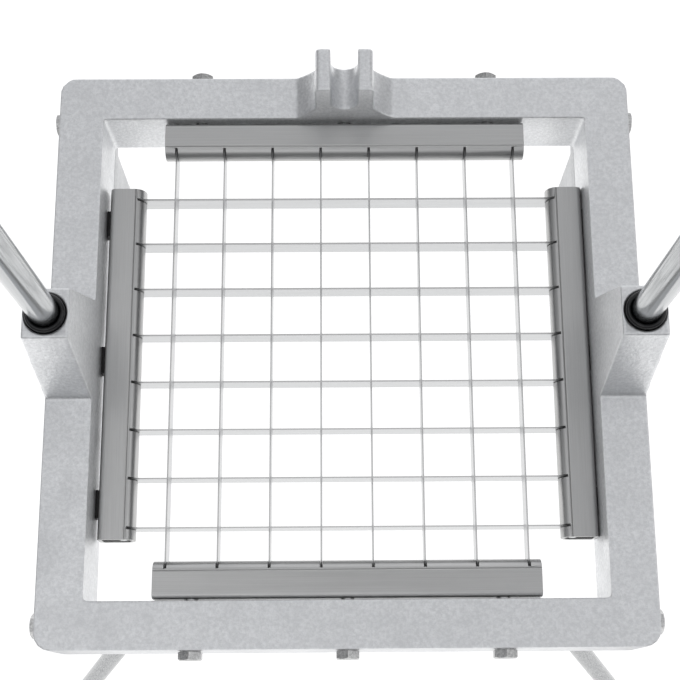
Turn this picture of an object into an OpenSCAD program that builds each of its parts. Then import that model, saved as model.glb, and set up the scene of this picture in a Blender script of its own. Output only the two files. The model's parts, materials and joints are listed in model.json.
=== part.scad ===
// French fry cutter. A square cast frame on four legs carries two crossed layers of blades.
// A lever pushes a block of fingers down two guide rods, and the fingers press a potato
// through the blades. Lengths are in millimetres.
// The origin is on the table, under the middle of the whole machine with its lever up.
// +Z is up, the person who cuts stands on the -Y side, and +X is to their right.

/* [Frame] */
// Width of the square frame from side to side
frame_w = 150.8; // [150:0.1:160]
// Length of the frame from front to back
frame_len = 150.8; // [150:0.1:160]
// Depth of the frame's walls
frame_depth = 16; // [15.5:0.1:18]
// Width of the frame's side walls at the top
wall_w = 11.7; // [11.5:0.1:12.4]
// Width of the frame's front and rear walls at the top
end_wall_w = 11.9; // [11.6:0.1:12.6]
// How far an inner wall leans inwards from its top to its bottom edge
wall_taper = 0.1; // [0:0.05:0.1]
// Height of the frame's top face above the table
stand_h = 90; // [85:0.5:110]

/* [Blades] */
// Number of cells along each side of the cutting area
cells = 7; // [5:2:7]
// Distance from one blade to the next, which is the thickness of a fry
blade_pitch = 12.7; // [12:0.1:13]
// Thickness of a blade
blade_t = 0.4; // [0.3:0.05:0.6]
// Height of a blade
blade_h = 6; // [5.5:0.1:6.2]
// Depth of the upper blades' edges below the frame's top face
blade_drop = 1.2; // [1.2:0.1:2]

/* [Blade holders] */
// Width of a holder from its back to its round nose
holder_w = 9.4; // [9.3:0.1:10]
// Height of a holder
holder_h = 6; // [5.8:0.1:6.4]
// Thickness of the sheet steel that the holders are folded from
sheet_t = 1; // [0.8:0.1:1.1]
// Mean gap between a side holder's back and the frame's inner wall
holder_gap = 0.5; // [0.5:0.1:0.9]

/* [Towers and guide rods] */
// Height of a tower above the frame's top face
tower_h = 26.5; // [24:0.1:32]
// Diameter of a guide rod
rod_d = 7; // [6:0.1:7.4]
// Distance of a guide rod's axis from the frame's outer side
rod_inset = 6.1; // [6:0.1:6.3]

/* [Pusher] */
// How far the head comes down
head_travel = 282; // [240:1:300]
// Length of the fingers that press the potato
finger_len = 30; // [28:0.5:34]
// Gap between a finger and the blades beside it
finger_gap = 0.75; // [0.5:0.05:1]
// Height of the lever's hinge above the frame's top face with the head down
hinge_h = 80; // [78:0.5:84]

/* [Lever and link] */
// Length of the link between its two holes
link_len = 234; // [232:1:244]
// Thickness of the link
link_t = 5; // [4:0.1:5.2]
// Thickness of the lever casting
lever_t = 14.6; // [14:0.1:15]
// Length of the handle from the hinge to its end
handle_len = 285; // [240:1:320]
// How far below level the handle points with the head down, in degrees
handle_dip = 10; // [5:1:12]
// How far below level the lever's arm points with the head up, in degrees
arm_rest_dip = 45; // [43:1:46]

/* [Hidden] */
$fn = 64;

// Colours
cast_colour = [0.76, 0.76, 0.75];
steel_colour = [0.66, 0.65, 0.62];
blade_colour = [0.78, 0.79, 0.79];
bright_colour = [0.86, 0.87, 0.88];
rubber_colour = [0.09, 0.09, 0.09];
black_steel_colour = [0.07, 0.07, 0.07];
bronze_colour = [0.72, 0.55, 0.30];

// Overrun of every cut past the face that it opens
over = 1;
// Radial clearance of a pin or rod that moves in its hole
running_gap = 0.05;
// Radial clearance of a bolt or rod that is fixed in its hole
fixed_gap = 0.03;
// Gap between parts that pass or rest beside each other
side_gap = 0.3;

// Frame corners
corner_r = 4.5;
inner_corner_r = 1.5;
inner_x = frame_w / 2 - wall_w;
inner_y = frame_len / 2 - end_wall_w;

// Clevis on the rear wall, which the link is pinned in
clevis_ear_h = 14;
clevis_ear_t = 4;
clevis_gap = 7;
clevis_saddle_h = 4.3;
clevis_flare_w = 5.2;
clevis_flare_h = 4.4;
clevis_flare_r = 20;
clevis_top_r = 1.5;
clevis_hole_h = 9.8;
clevis_pin_d = 4.8;
clevis_y = frame_len / 2 - end_wall_w / 2;
clevis_half = clevis_gap / 2 + clevis_ear_t;

// Blade holders
holder_end = 3;
holder_len = cells * blade_pitch + 2 * holder_end;
holder_x = inner_x - holder_gap;
// The side holders and the lower blades sit a little to the right in the frame, and the bolts
// pull the front and rear holders nearly onto their walls
cross_shift = 0.35;
pulled_gap = 0.5;
holder_y = inner_y - pulled_gap;
holder_nose_r = holder_h / 2;
holder_bend_r = 1.4;
seam_gap = 0.6;
holder_top_gap = 0.1;
long_top = -blade_drop + holder_top_gap;
layer_gap = 1;
cross_top = long_top - blade_h - layer_gap + holder_top_gap;

// Blade ends
blade_bevel = 0.8;
slot_start = 0.9;
slot_gap = 0.1;
slot_play = 0.2;
tongue_reach = 3.5;
tongue_play = 0.3;
tongue_h = holder_h - 2 * sheet_t - 2 * tongue_play;
retaining_rod_d = 1.8;
blade_first = -cells * blade_pitch / 2;

// Keys in the side walls that the side holders hook onto, and the windows for them
bolt_cells = 3;
fixing_pitch = bolt_cells * blade_pitch;
key_len = 7.2;
key_h = 2.6;
key_reach = 1.6;
key_seat = 2;
window_play = 0.3;

// Bolts that pull the front and rear holders outwards
tension_bolt_d = 3.2;
bolt_hole_play = 0.2;
bolt_head_af = 5.5;
bolt_head_h = 2.3;
nut_bar_t = 2.4;
nut_bar_h = 3.4;
nut_bar_end = 4;
tip_gap = 0.2;

// Front legs: plain rods, clamped in the front wall, that splay outwards and forwards
leg_d = 4.8;
leg_inset_y = 6.6;
leg_inset_x = 23.5;
leg_x = frame_w / 2 - leg_inset_x;
leg_seat = 11;
leg_out_share = 0.51;
leg_forward_share = 0.35;
leg_top_z = stand_h - frame_depth + leg_seat;
leg_len = leg_top_z * norm([leg_out_share, leg_forward_share, 1]);
leg_tilt_x = atan(leg_forward_share);
leg_tilt_y = atan(leg_out_share / norm([leg_forward_share, 1]));
pad_d = 15;
pad_h = 11;
pad_floor = 2;
pad_fall = stand_h - frame_depth / 2 - pad_h / 2;

// Rear legs: castings with a peg that is clamped in a side wall. A web runs down from the
// flange to the foot, outwards and backwards, and a rib stands out of it.
peg_d = 6;
peg_inset_x = 5.8;
peg_x = frame_w / 2 - peg_inset_x;
peg_inset_y = 9.4;
peg_y = frame_len / 2 - peg_inset_y;
peg_h = 12;
flange_t = 4;
flange_front_y = 14;
web_t = 4.6;
web_x = inner_x - wall_taper;
web_back_y = inner_y - wall_taper;
web_out_share = 0.107;
web_back_share = 0.24;
foot_w = 8;
foot_len = 18;
foot_h = 13;
foot_floor = 4;
foot_set_out = 3;
web_foot_x = web_x + web_out_share * (stand_h - frame_depth - foot_h);
foot_x = web_foot_x + foot_set_out;
foot_back_y = web_back_y + web_back_share * (stand_h - frame_depth - foot_h);
rib_t = 5;
shoe_wall = 2.4;
shoe_h = 12;

// Towers
tower_foot = 13.2;
tower_top = 6;
tower_taper = 0.8;

// Guide rods, with the rubber rings in the towers' tops
rod_x = frame_w / 2 - rod_inset;
spigot_d = 5;
spigot_len = 9;
rod_nut_af = 8;
rod_nut_h = 4;
ring_d = 9.6;
ring_h = 3;
ring_depth = 2.2;
ring_wall_gap = 0.1;
seat_chamfer = 0.4;
rod_cap_d = 12;
rod_cap_h = 13;
rod_cap_bore = 8;
cap_gap = 1.5;

// Pusher block: fingers that pass through the cells with a clearance below the blades
finger_over = 2.2;
block_plate_t = 8;
block_rim = 1.5;
block_corner_r = 3;
finger_w = blade_pitch - blade_t - 2 * finger_gap;
finger_bottom = cross_top - holder_top_gap - blade_h - finger_over;
block_bottom = finger_bottom + finger_len;
block_top = block_bottom + block_plate_t;
block_w = cells * blade_pitch + 2 * block_rim;
block_screw_d = 4;
block_screw_head_d = 8;
block_screw_head_h = 3;
block_screw_x = 27;

// Pusher head, all heights above the frame's top face with the head down
bush_d = 10.4;
bush_flange_d = 14;
bush_flange_t = 1.5;
bumper_gap = 0.4;
hub_d = 20;
hub_h = 26;
hub_bottom = tower_h + ring_h - ring_depth + bumper_gap + bush_flange_t;
cap_bottom = head_travel + hub_bottom + hub_h + cap_gap;
hub_inset = 3;
beam_t = 20;
beam_bottom = hub_bottom + hub_inset;
beam_top = hub_bottom + hub_h - hub_inset;
pad_plate_w = 72;
pad_plate_t = 5;
pad_top = block_top + pad_plate_t;
pad_corner_r = 6;
web_curve_r = beam_bottom - pad_top;
rib_x = 14;
rib_top = beam_bottom + 2 * rib_t;
ear_t = 5;
ear_gap = lever_t + 2 * side_gap;
ear_r = beam_t / 2;
hinge_pin_d = 8;
pin_head_t = 2;
pin_head_rim = 2.5;
pin_groove_out = 2;

// Lever: its arm is as long as brings the link's foot into the clevis with the head down.
// With the head up it rests about where a pinned link would hold it.
arm_down = [clevis_y, clevis_hole_h + link_len - hinge_h];
arm_len = norm(arm_down);
arm_down_angle = atan2(arm_down.y, arm_down.x);
arm_rest_angle = -arm_rest_dip;
lever_swing = arm_down_angle - arm_rest_angle;
handle_angle = 180 + handle_dip - arm_down_angle;
arm_root_w = 18;
arm_end_w = 15;
fork_depth = 62;
fork_gap = link_t + 2 * side_gap;
socket_d = 20;
socket_start = 18;
socket_len = 42;
handle_rod_d = 12;
handle_pin_d = 3;
handle_pin_at = 45;
grip_d = 28;
grip_neck_d = 24;
grip_len = 118;
grip_end_t = 6;
link_pin_d = 6;

// Link
link_w = 12;
link_top_eye_d = 16;
link_foot_eye_d = 8.4;
link_foot_len = 20;

// Release pin for the clevis, parked in the lever
park_at = 45;
release_over = 2;
release_len = 2 * (clevis_half + release_over);
release_head_d = 8.4;
release_head_t = 1.8;
release_eye_len = 5;
ring_hole_d = 2.6;
ring_wire_d = 1.6;
release_ring_d = 16;

// Places of the hinges at rest, seen from the side: y and z from the frame's middle and top
hinge_rest = [0, hinge_h + head_travel];
arm_tip = hinge_rest + arm_len * [cos(arm_rest_angle), sin(arm_rest_angle)];

// The origin is under the middle of the machine, so the frame's middle lies off it
front_reach = -frame_len / 2 + leg_inset_y - leg_forward_share * pad_fall - pad_d / 2;
rear_reach = arm_tip.x + link_top_eye_d / 2;
frame_y = -(front_reach + rear_reach) / 2;
echo(frame_y = frame_y, hinge_z = stand_h + hinge_rest.y, tip_y = frame_y + arm_tip.x,
     tip_z = stand_h + arm_tip.y, swing = lever_swing, rest_angle = arm_rest_angle,
     park_y = park_at * cos(arm_rest_angle), park_z = park_at * sin(arm_rest_angle));

// Shared shapes

// Both sides of the machine: the part drawn on the right and its mirror image
module both_sides() {
    children();
    mirror([1, 0, 0]) children();
}

// An outline of y and z, made t thick along X and centred on the machine's middle plane
module along_x(t) {
    translate([-t / 2, 0, 0]) rotate([90, 0, 90]) linear_extrude(t) children();
}

// An outline of x and z, made t thick along Y and centred
module along_y(t) {
    translate([0, t / 2, 0]) rotate([90, 0, 0]) linear_extrude(t) children();
}

// A rod of diameter d from x0 to x1
module rod_x(d, x0, x1) {
    translate([x0, 0, 0]) rotate([0, 90, 0]) cylinder(h = x1 - x0, d = d);
}

// A rod of diameter d from y0 to y1
module rod_y(d, y0, y1) {
    translate([0, y0, 0]) rotate([-90, 0, 0]) cylinder(h = y1 - y0, d = d);
}

// A hexagonal head of the given width across its flats, standing along Z
module hex_head(af, h) {
    cylinder(h = h, d = af / cos(30), $fn = 6);
}

module rounded_square(w, l, r) {
    square([w - 2 * r, l], center = true);
    square([w, l - 2 * r], center = true);
    for (x = [-1, 1], y = [-1, 1]) translate([x * (w / 2 - r), y * (l / 2 - r)]) circle(r);
}

// Everything that is carried by the frame, drawn from the middle of its top face
module at_frame() {
    translate([0, frame_y, stand_h]) children();
}

// The head's pieces are drawn with the head down and stored with it up
module at_head() {
    at_frame() translate([0, 0, head_travel]) children();
}

// The lever's pieces are drawn with the hinge at the origin and the arm along +Y
module at_lever() {
    at_head() translate([0, 0, hinge_h]) rotate([arm_rest_angle, 0, 0]) children();
}

// Along the handle, which leaves the hinge at an angle to the arm
module at_handle() {
    rotate([handle_angle, 0, 0]) rotate([-90, 0, 0]) children();
}

// Frame

// The opening narrows downwards with the draft of the four inner walls
module frame_opening() {
    slope = wall_taper / frame_depth;
    low = frame_depth + over;
    intersection() {
        along_y(frame_len) polygon([
            [-inner_x - slope * over, over], [inner_x + slope * over, over],
            [inner_x - slope * low, -low], [-inner_x + slope * low, -low]]);
        along_x(frame_w) polygon([
            [-inner_y - slope * over, over], [inner_y + slope * over, over],
            [inner_y - slope * low, -low], [-inner_y + slope * low, -low]]);
        translate([0, 0, -low]) linear_extrude(low + over)
            rounded_square(2 * inner_x + over, 2 * inner_y + over, inner_corner_r + over);
    }
}

// A tower's inner face is flush with the wall, and its other faces lean in
module tower() {
    tower_mid = frame_w / 2 - wall_w / 2;
    intersection() {
        translate([tower_mid, 0, 0]) along_x(wall_w) polygon([
            [-tower_foot, -over], [tower_foot, -over],
            [tower_top, tower_h], [-tower_top, tower_h]]);
        along_y(2 * tower_foot) polygon([
            [inner_x, -over], [frame_w / 2, -over],
            [frame_w / 2 - tower_taper, tower_h], [inner_x, tower_h]]);
    }
}

// The gusset beside an ear, hollowed by a shallow arc through its top and its foot
module clevis_flare() {
    chord = norm([clevis_flare_w, clevis_flare_h]);
    out = sqrt(pow(clevis_flare_r, 2) - pow(chord / 2, 2)) / chord;
    difference() {
        polygon([[-clevis_top_r, -over], [clevis_flare_w, -over], [clevis_flare_w, 0],
                 [0, clevis_flare_h], [-clevis_top_r, clevis_flare_h]]);
        translate([clevis_flare_w / 2 + out * clevis_flare_h, clevis_flare_h / 2 + out * clevis_flare_w])
            circle(clevis_flare_r);
    }
}

module clevis_outline() {
    difference() {
        union() {
            translate([-clevis_half, -over])
                square([2 * clevis_half, clevis_ear_h - clevis_top_r + over]);
            for (s = [-1, 1]) {
                translate([s * (clevis_half - clevis_top_r), clevis_ear_h - clevis_top_r])
                    circle(clevis_top_r);
                translate([s * (clevis_gap / 2 + clevis_top_r / 2), clevis_ear_h - clevis_top_r])
                    square([clevis_top_r, 2 * clevis_top_r], center = true);
            }
            both_sides() translate([clevis_half, 0]) clevis_flare();
        }
        translate([0, clevis_saddle_h + clevis_gap / 2]) circle(clevis_gap / 2);
        translate([-clevis_gap / 2, clevis_saddle_h + clevis_gap / 2])
            square([clevis_gap, clevis_ear_h]);
    }
}

// A pocket in a side wall holds each key
module key_pockets() {
    for (i = [-1:1]) translate([
        inner_x - wall_w / 2, i * fixing_pitch - key_len / 2 - fixed_gap,
        cross_top - holder_h / 2 - key_h / 2 - fixed_gap])
        cube([wall_w / 2 + key_seat + fixed_gap, key_len + 2 * fixed_gap, key_h + 2 * fixed_gap]);
}

// The axis of a front leg, from the top of its seat down. It passes its inset at the height
// of the clamp bolts.
module at_front_leg() {
    rise = leg_seat - frame_depth / 2;
    translate([leg_x - leg_out_share * rise,
               -frame_len / 2 + leg_inset_y + leg_forward_share * rise, -frame_depth + leg_seat])
        rotate([-leg_tilt_x, 0, 0]) rotate([0, 180 - leg_tilt_y, 0]) children();
}

module leg_clamp_bolt_bores() {
    for (place = [[leg_x, leg_inset_y - frame_len / 2], [peg_x, peg_y]])
        translate([0, place.y, -frame_depth / 2])
        rod_x(tension_bolt_d + 2 * fixed_gap, place.x, frame_w / 2 + over);
}

module base_frame() {
    color(cast_colour) at_frame() difference() {
        union() {
            difference() {
                translate([0, 0, -frame_depth]) linear_extrude(frame_depth)
                    rounded_square(frame_w, frame_len, corner_r);
                frame_opening();
            }
            both_sides() tower();
            translate([0, clevis_y, 0]) along_y(end_wall_w) clevis_outline();
        }
        both_sides() key_pockets();
        translate([0, clevis_y, clevis_hole_h])
            rod_x(clevis_pin_d + 4 * running_gap, -clevis_half - over, clevis_half + over);
        both_sides() translate([rod_x, 0, 0]) {
            translate([0, 0, -frame_depth / 2])
                cylinder(h = frame_depth + tower_h, d = rod_d + 2 * fixed_gap);
            translate([0, 0, -frame_depth - over])
                cylinder(h = frame_depth + over, d = spigot_d + 2 * fixed_gap);
            translate([0, 0, tower_h - ring_depth])
                cylinder(h = ring_depth + over, d = ring_d + 2 * ring_wall_gap);
            translate([0, 0, tower_h - seat_chamfer])
                cylinder(h = seat_chamfer + over, d1 = ring_d + 2 * ring_wall_gap,
                         d2 = ring_d + 2 * (ring_wall_gap + seat_chamfer + over));
        }
        for (i = [-1:1]) translate([i * fixing_pitch, 0, long_top - holder_h / 2])
            rod_y(tension_bolt_d + 2 * bolt_hole_play, -frame_len / 2 - over, frame_len / 2 + over);
        both_sides() at_front_leg()
            cylinder(h = leg_len, d = leg_d + 2 * fixed_gap);
        both_sides() translate([peg_x, peg_y, -frame_depth - over])
            cylinder(h = peg_h + over, d = peg_d + 2 * fixed_gap);
        both_sides() leg_clamp_bolt_bores();
    }
}

// Legs and feet

module rear_leg() {
    side_face = frame_w / 2 - fixed_gap;
    rear_face = frame_len / 2 - fixed_gap;
    flange_low = -frame_depth - flange_t;
    foot_front_y = foot_back_y - foot_len;
    color(cast_colour) union() {
        translate([peg_x, peg_y, -frame_depth - flange_t / 2])
            cylinder(h = peg_h - side_gap + flange_t / 2, d = peg_d);
        translate([0, 0, flange_low]) linear_extrude(flange_t) intersection() {
            rounded_square(2 * side_face, 2 * rear_face, corner_r);
            translate([web_x, flange_front_y]) square([wall_w + over, frame_len]);
        }
        hull() {
            translate([web_x, flange_front_y, flange_low])
                cube([web_t, web_back_y - flange_front_y, flange_t / 2]);
            translate([web_foot_x, foot_front_y, foot_h - stand_h]) cube([web_t, foot_len, over]);
        }
        hull() {
            translate([web_x, web_back_y - rib_t, flange_low])
                cube([side_face - web_x, rib_t, flange_t / 2]);
            translate([foot_x, foot_back_y - rib_t, foot_h - stand_h]) cube([foot_w, rib_t, over]);
        }
        translate([foot_x, foot_front_y, foot_floor - stand_h])
            cube([foot_w, foot_len, foot_h - foot_floor + over / 2]);
    }
}

module left_rear_leg() { at_frame() mirror([1, 0, 0]) rear_leg(); }
module right_rear_leg() { at_frame() rear_leg(); }

// A front leg's rod stops on the floor of its rubber pad
module front_leg_rod(d) {
    intersection() {
        at_front_leg() cylinder(h = leg_len + leg_d, d = d);
        translate([0, -frame_len / 2, -stand_h + pad_floor])
            translate([0, -frame_len, 0]) cube([frame_w, 2 * frame_len, stand_h]);
    }
}

module front_leg() { color(bright_colour) front_leg_rod(leg_d); }
module left_front_leg() { at_frame() mirror([1, 0, 0]) front_leg(); }
module right_front_leg() { at_frame() front_leg(); }

module front_foot_pads() {
    color(rubber_colour) at_frame() both_sides() difference() {
        translate([leg_x + leg_out_share * pad_fall,
                   -frame_len / 2 + leg_inset_y - leg_forward_share * pad_fall, -stand_h])
            cylinder(h = pad_h, d = pad_d);
        front_leg_rod(leg_d + 2 * fixed_gap);
    }
}

module rear_foot_pads() {
    color(rubber_colour) at_frame() both_sides()
        translate([foot_x + foot_w / 2, foot_back_y - foot_len / 2, -stand_h]) difference() {
            linear_extrude(shoe_h)
                rounded_square(foot_w + 2 * shoe_wall, foot_len + 2 * shoe_wall, shoe_wall);
            translate([-foot_w / 2 - fixed_gap, -foot_len / 2 - fixed_gap, foot_floor - fixed_gap])
                cube([foot_w + 2 * fixed_gap, foot_len + 2 * fixed_gap, shoe_h]);
        }
}

module hex_bolt(shank_d, shank_len) {
    hex_head(bolt_head_af, bolt_head_h);
    translate([0, 0, -shank_len]) cylinder(h = shank_len + over, d = shank_d);
}

// Each bolt reaches in from a side face to the leg that it clamps
module leg_clamp_bolts() {
    front_tip = leg_x + leg_out_share * tension_bolt_d / 2 + leg_d / 2 / cos(leg_tilt_y) + tip_gap;
    rear_tip = peg_x + peg_d / 2 + tip_gap;
    color(bright_colour) at_frame() both_sides()
        for (place = [[front_tip, leg_inset_y - frame_len / 2], [rear_tip, peg_y]])
            translate([frame_w / 2, place.y, -frame_depth / 2])
            rotate([0, 90, 0]) hex_bolt(tension_bolt_d, frame_w / 2 - place.x);
}

// Blade holders and their fixings

// The section of a holder, with its back at 0, its nose towards +X and its top at 0
module holder_section() {
    nose_x = holder_w - holder_nose_r;
    difference() {
        union() {
            translate([holder_bend_r, -holder_h]) square([nose_x - holder_bend_r, holder_h]);
            translate([0, -holder_h]) square([nose_x, holder_h - holder_bend_r]);
            translate([holder_bend_r, -holder_bend_r]) circle(holder_bend_r);
            translate([nose_x, -holder_nose_r]) circle(holder_nose_r);
        }
        translate([sheet_t, sheet_t - holder_h]) square([nose_x - sheet_t, holder_h - 2 * sheet_t]);
        translate([nose_x, -holder_nose_r]) circle(holder_nose_r - sheet_t);
        translate([-over, -holder_h - over]) square([sheet_t + over, seam_gap + over]);
    }
}

// A holder with its back on the plane x = 0, its nose towards +X and its length along Y
module holder() {
    nose_x = holder_w - holder_nose_r;
    difference() {
        along_y(holder_len) holder_section();
        for (i = [0:cells])
            translate([nose_x + slot_start, blade_first + i * blade_pitch - blade_t / 2 - slot_gap,
                       -holder_h - over])
            cube([holder_nose_r + over, blade_t + 2 * slot_gap, holder_h + 2 * over]);
    }
}

// The front and rear holders take the upper blades, the side holders the lower ones
module at_long_end(front) {
    at_frame() rotate([0, 0, front ? 90 : -90]) translate([-holder_y, 0, long_top]) children();
}

module at_cross_end(left) {
    at_frame() translate([cross_shift, 0, cross_top]) rotate([0, 0, left ? 0 : 180])
        translate([-holder_x, 0, 0]) children();
}

module bolted_holder() {
    difference() {
        holder();
        for (i = [-1:1]) translate([0, i * fixing_pitch, -holder_h / 2])
            rod_x(tension_bolt_d + 2 * bolt_hole_play, -over, sheet_t + over);
    }
}

module hooked_holder() {
    difference() {
        holder();
        for (i = [-1:1])
            translate([-over, i * fixing_pitch - key_len / 2 - window_play,
                       -holder_h / 2 - key_h / 2 - window_play])
            cube([sheet_t + 2 * over, key_len + 2 * window_play, key_h + 2 * window_play]);
    }
}

module front_holder() { color(steel_colour) at_long_end(true) bolted_holder(); }
module rear_holder() { color(steel_colour) at_long_end(false) bolted_holder(); }
module left_holder() { color(steel_colour) at_cross_end(true) hooked_holder(); }
module right_holder() { color(steel_colour) at_cross_end(false) hooked_holder(); }

// Black steel keys stand in the wall's pockets and reach through the holder's windows
module holder_keys(gap) {
    color(black_steel_colour) for (i = [-1:1])
        translate([-gap - key_seat, i * fixing_pitch - key_len / 2, -holder_h / 2 - key_h / 2])
        cube([gap + key_seat + sheet_t + key_reach, key_len, key_h]);
}

module left_holder_keys() { at_cross_end(true) holder_keys(holder_gap + cross_shift); }
module right_holder_keys() { at_cross_end(false) holder_keys(holder_gap - cross_shift); }

// A rod through the holes in the blades' ends keeps them in the holder
module retaining_rod() {
    color(bright_colour) translate([holder_w - holder_nose_r, 0, -holder_h / 2])
        rod_y(retaining_rod_d, -holder_len / 2 + slot_play, holder_len / 2 - slot_play);
}

module front_retaining_rod() { at_long_end(true) retaining_rod(); }
module rear_retaining_rod() { at_long_end(false) retaining_rod(); }
module left_retaining_rod() { at_cross_end(true) retaining_rod(); }
module right_retaining_rod() { at_cross_end(false) retaining_rod(); }

// A tapped bar inside the holder that the tension bolts screw into
module nut_bar() {
    len = holder_len - 2 * nut_bar_end;
    color(steel_colour) difference() {
        translate([sheet_t, -len / 2, -holder_h / 2 - nut_bar_h / 2]) cube([nut_bar_t, len, nut_bar_h]);
        for (i = [-1:1]) translate([0, i * fixing_pitch, -holder_h / 2])
            rod_x(tension_bolt_d + 2 * fixed_gap, 0, sheet_t + nut_bar_t + over);
    }
}

module front_nut_bar() { at_long_end(true) nut_bar(); }
module rear_nut_bar() { at_long_end(false) nut_bar(); }

module tension_bolts() {
    color(bright_colour) for (i = [-1:1])
        translate([-end_wall_w - pulled_gap, i * fixing_pitch, -holder_h / 2])
        rotate([0, -90, 0])
        hex_bolt(tension_bolt_d, end_wall_w + pulled_gap + sheet_t + nut_bar_t - tip_gap);
}

module front_tension_bolts() { at_long_end(true) tension_bolts(); }
module rear_tension_bolts() { at_long_end(false) tension_bolts(); }

// Blades

// A blade along Y with its cutting edge up at z = 0, and a holed tongue at each end
module blade(back_to_back) {
    nose_x = holder_w - holder_nose_r;
    full_len = back_to_back - 2 * (nose_x + slot_start + slot_play);
    tongue_len = full_len + 2 * tongue_reach;
    color(blade_colour) difference() {
        union() {
            along_y(full_len) polygon([
                [-blade_t / 2, -blade_h], [blade_t / 2, -blade_h], [blade_t / 2, -blade_bevel],
                [0, 0], [-blade_t / 2, -blade_bevel]]);
            translate([0, 0, holder_top_gap - holder_h / 2])
                cube([blade_t, tongue_len, tongue_h], center = true);
        }
        for (y = [-1, 1]) translate([0, y * (back_to_back / 2 - nose_x), holder_top_gap - holder_h / 2])
            rod_x(retaining_rod_d + 2 * slot_gap, -blade_t, blade_t);
    }
}

module long_blade(i) {
    at_frame() translate([blade_first + (i - 1) * blade_pitch, 0, long_top - holder_top_gap])
        blade(2 * holder_y);
}

module cross_blade(i) {
    at_frame() translate([cross_shift, blade_first + (i - 1) * blade_pitch, cross_top - holder_top_gap])
        rotate([0, 0, 90]) blade(2 * holder_x);
}

// Guide rods

// The rod sits on its shoulder in the wall, and a nut holds its spigot below
module guide_rod() {
    color(bright_colour) {
        translate([0, 0, -frame_depth / 2])
            cylinder(h = frame_depth / 2 + cap_bottom + rod_cap_bore, d = rod_d);
        translate([0, 0, -frame_depth / 2 - spigot_len - rod_nut_h])
            cylinder(h = spigot_len + rod_nut_h + over, d = spigot_d);
    }
}

module left_guide_rod() { at_frame() translate([-rod_x, 0, 0]) guide_rod(); }
module right_guide_rod() { at_frame() translate([rod_x, 0, 0]) guide_rod(); }

module guide_rod_nuts() {
    color(bright_colour) at_frame() both_sides() translate([rod_x, 0, -frame_depth - rod_nut_h])
        difference() {
            hex_head(rod_nut_af, rod_nut_h);
            translate([0, 0, -over])
                cylinder(h = rod_nut_h + 2 * over, d = spigot_d + 2 * fixed_gap);
        }
}

// A rubber ring in the tower's top that the head comes down on
module bumper_ring() {
    wall = (ring_d - rod_d) / 2 - fixed_gap;
    round_r = wall / 2;
    color(rubber_colour) translate([0, 0, tower_h - ring_depth]) rotate_extrude() {
        translate([rod_d / 2 + fixed_gap, 0]) square([wall, ring_h - round_r]);
        translate([rod_d / 2 + fixed_gap + round_r, ring_h - round_r]) circle(round_r);
    }
}

module left_bumper_ring() { at_frame() translate([-rod_x, 0, 0]) bumper_ring(); }
module right_bumper_ring() { at_frame() translate([rod_x, 0, 0]) bumper_ring(); }

module guide_rod_caps() {
    dome_r = rod_cap_d / 2;
    color(bright_colour) at_frame() both_sides() translate([rod_x, 0, cap_bottom]) difference() {
        rotate_extrude() intersection() {
            union() {
                square([dome_r, rod_cap_h - dome_r]);
                translate([0, rod_cap_h - dome_r]) circle(dome_r);
            }
            square([dome_r, rod_cap_h]);
        }
        translate([0, 0, -over]) cylinder(h = rod_cap_bore + over, d = rod_d + 2 * fixed_gap);
    }
}

// Pusher head

module head_outline() {
    web_half = pad_plate_w / 2;
    difference() {
        union() {
            translate([-rod_x, beam_bottom]) square([2 * rod_x, beam_top - beam_bottom]);
            translate([-web_half - web_curve_r, pad_top - over])
                square([2 * (web_half + web_curve_r), beam_bottom - pad_top + 2 * over]);
        }
        for (s = [-1, 1]) translate([s * (web_half + web_curve_r), pad_top - over])
            circle(web_curve_r + over);
    }
}

module pusher_head() {
    color(cast_colour) at_head() difference() {
        union() {
            along_y(beam_t) head_outline();
            both_sides() translate([rod_x, 0, hub_bottom]) cylinder(h = hub_h, d = hub_d);
            translate([0, 0, block_top]) linear_extrude(pad_plate_t)
                rounded_square(pad_plate_w, pad_plate_w, pad_corner_r);
            both_sides() translate([rib_x, 0, 0]) along_x(rib_t) polygon([
                [pad_corner_r - pad_plate_w / 2, pad_top - over],
                [pad_plate_w / 2 - pad_corner_r, pad_top - over],
                [beam_t / 2, rib_top], [-beam_t / 2, rib_top]]);
            both_sides() translate([ear_gap / 2 + ear_t / 2, 0, 0]) along_x(ear_t) {
                translate([-ear_r, beam_top - over]) square([2 * ear_r, hinge_h - beam_top + over]);
                translate([0, hinge_h]) circle(ear_r);
            }
        }
        both_sides() translate([rod_x, 0, hub_bottom - over])
            cylinder(h = hub_h + 2 * over, d = bush_d + 2 * fixed_gap);
        translate([0, 0, hinge_h])
            rod_x(hinge_pin_d + 2 * fixed_gap, -ear_gap, ear_gap);
        for (x = [-1, 1], y = [-1, 1])
            translate([x * block_screw_x, y * block_screw_x, block_top - over])
            cylinder(h = pad_plate_t + 2 * over, d = block_screw_d + 2 * fixed_gap);
    }
}

module head_bushes() {
    color(bronze_colour) at_head() both_sides() translate([rod_x, 0, hub_bottom]) difference() {
        union() {
            cylinder(h = hub_h, d = bush_d);
            translate([0, 0, -bush_flange_t]) cylinder(h = bush_flange_t, d = bush_flange_d);
        }
        translate([0, 0, -bush_flange_t - over])
            cylinder(h = hub_h + bush_flange_t + 2 * over, d = rod_d + 2 * running_gap);
    }
}

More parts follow.
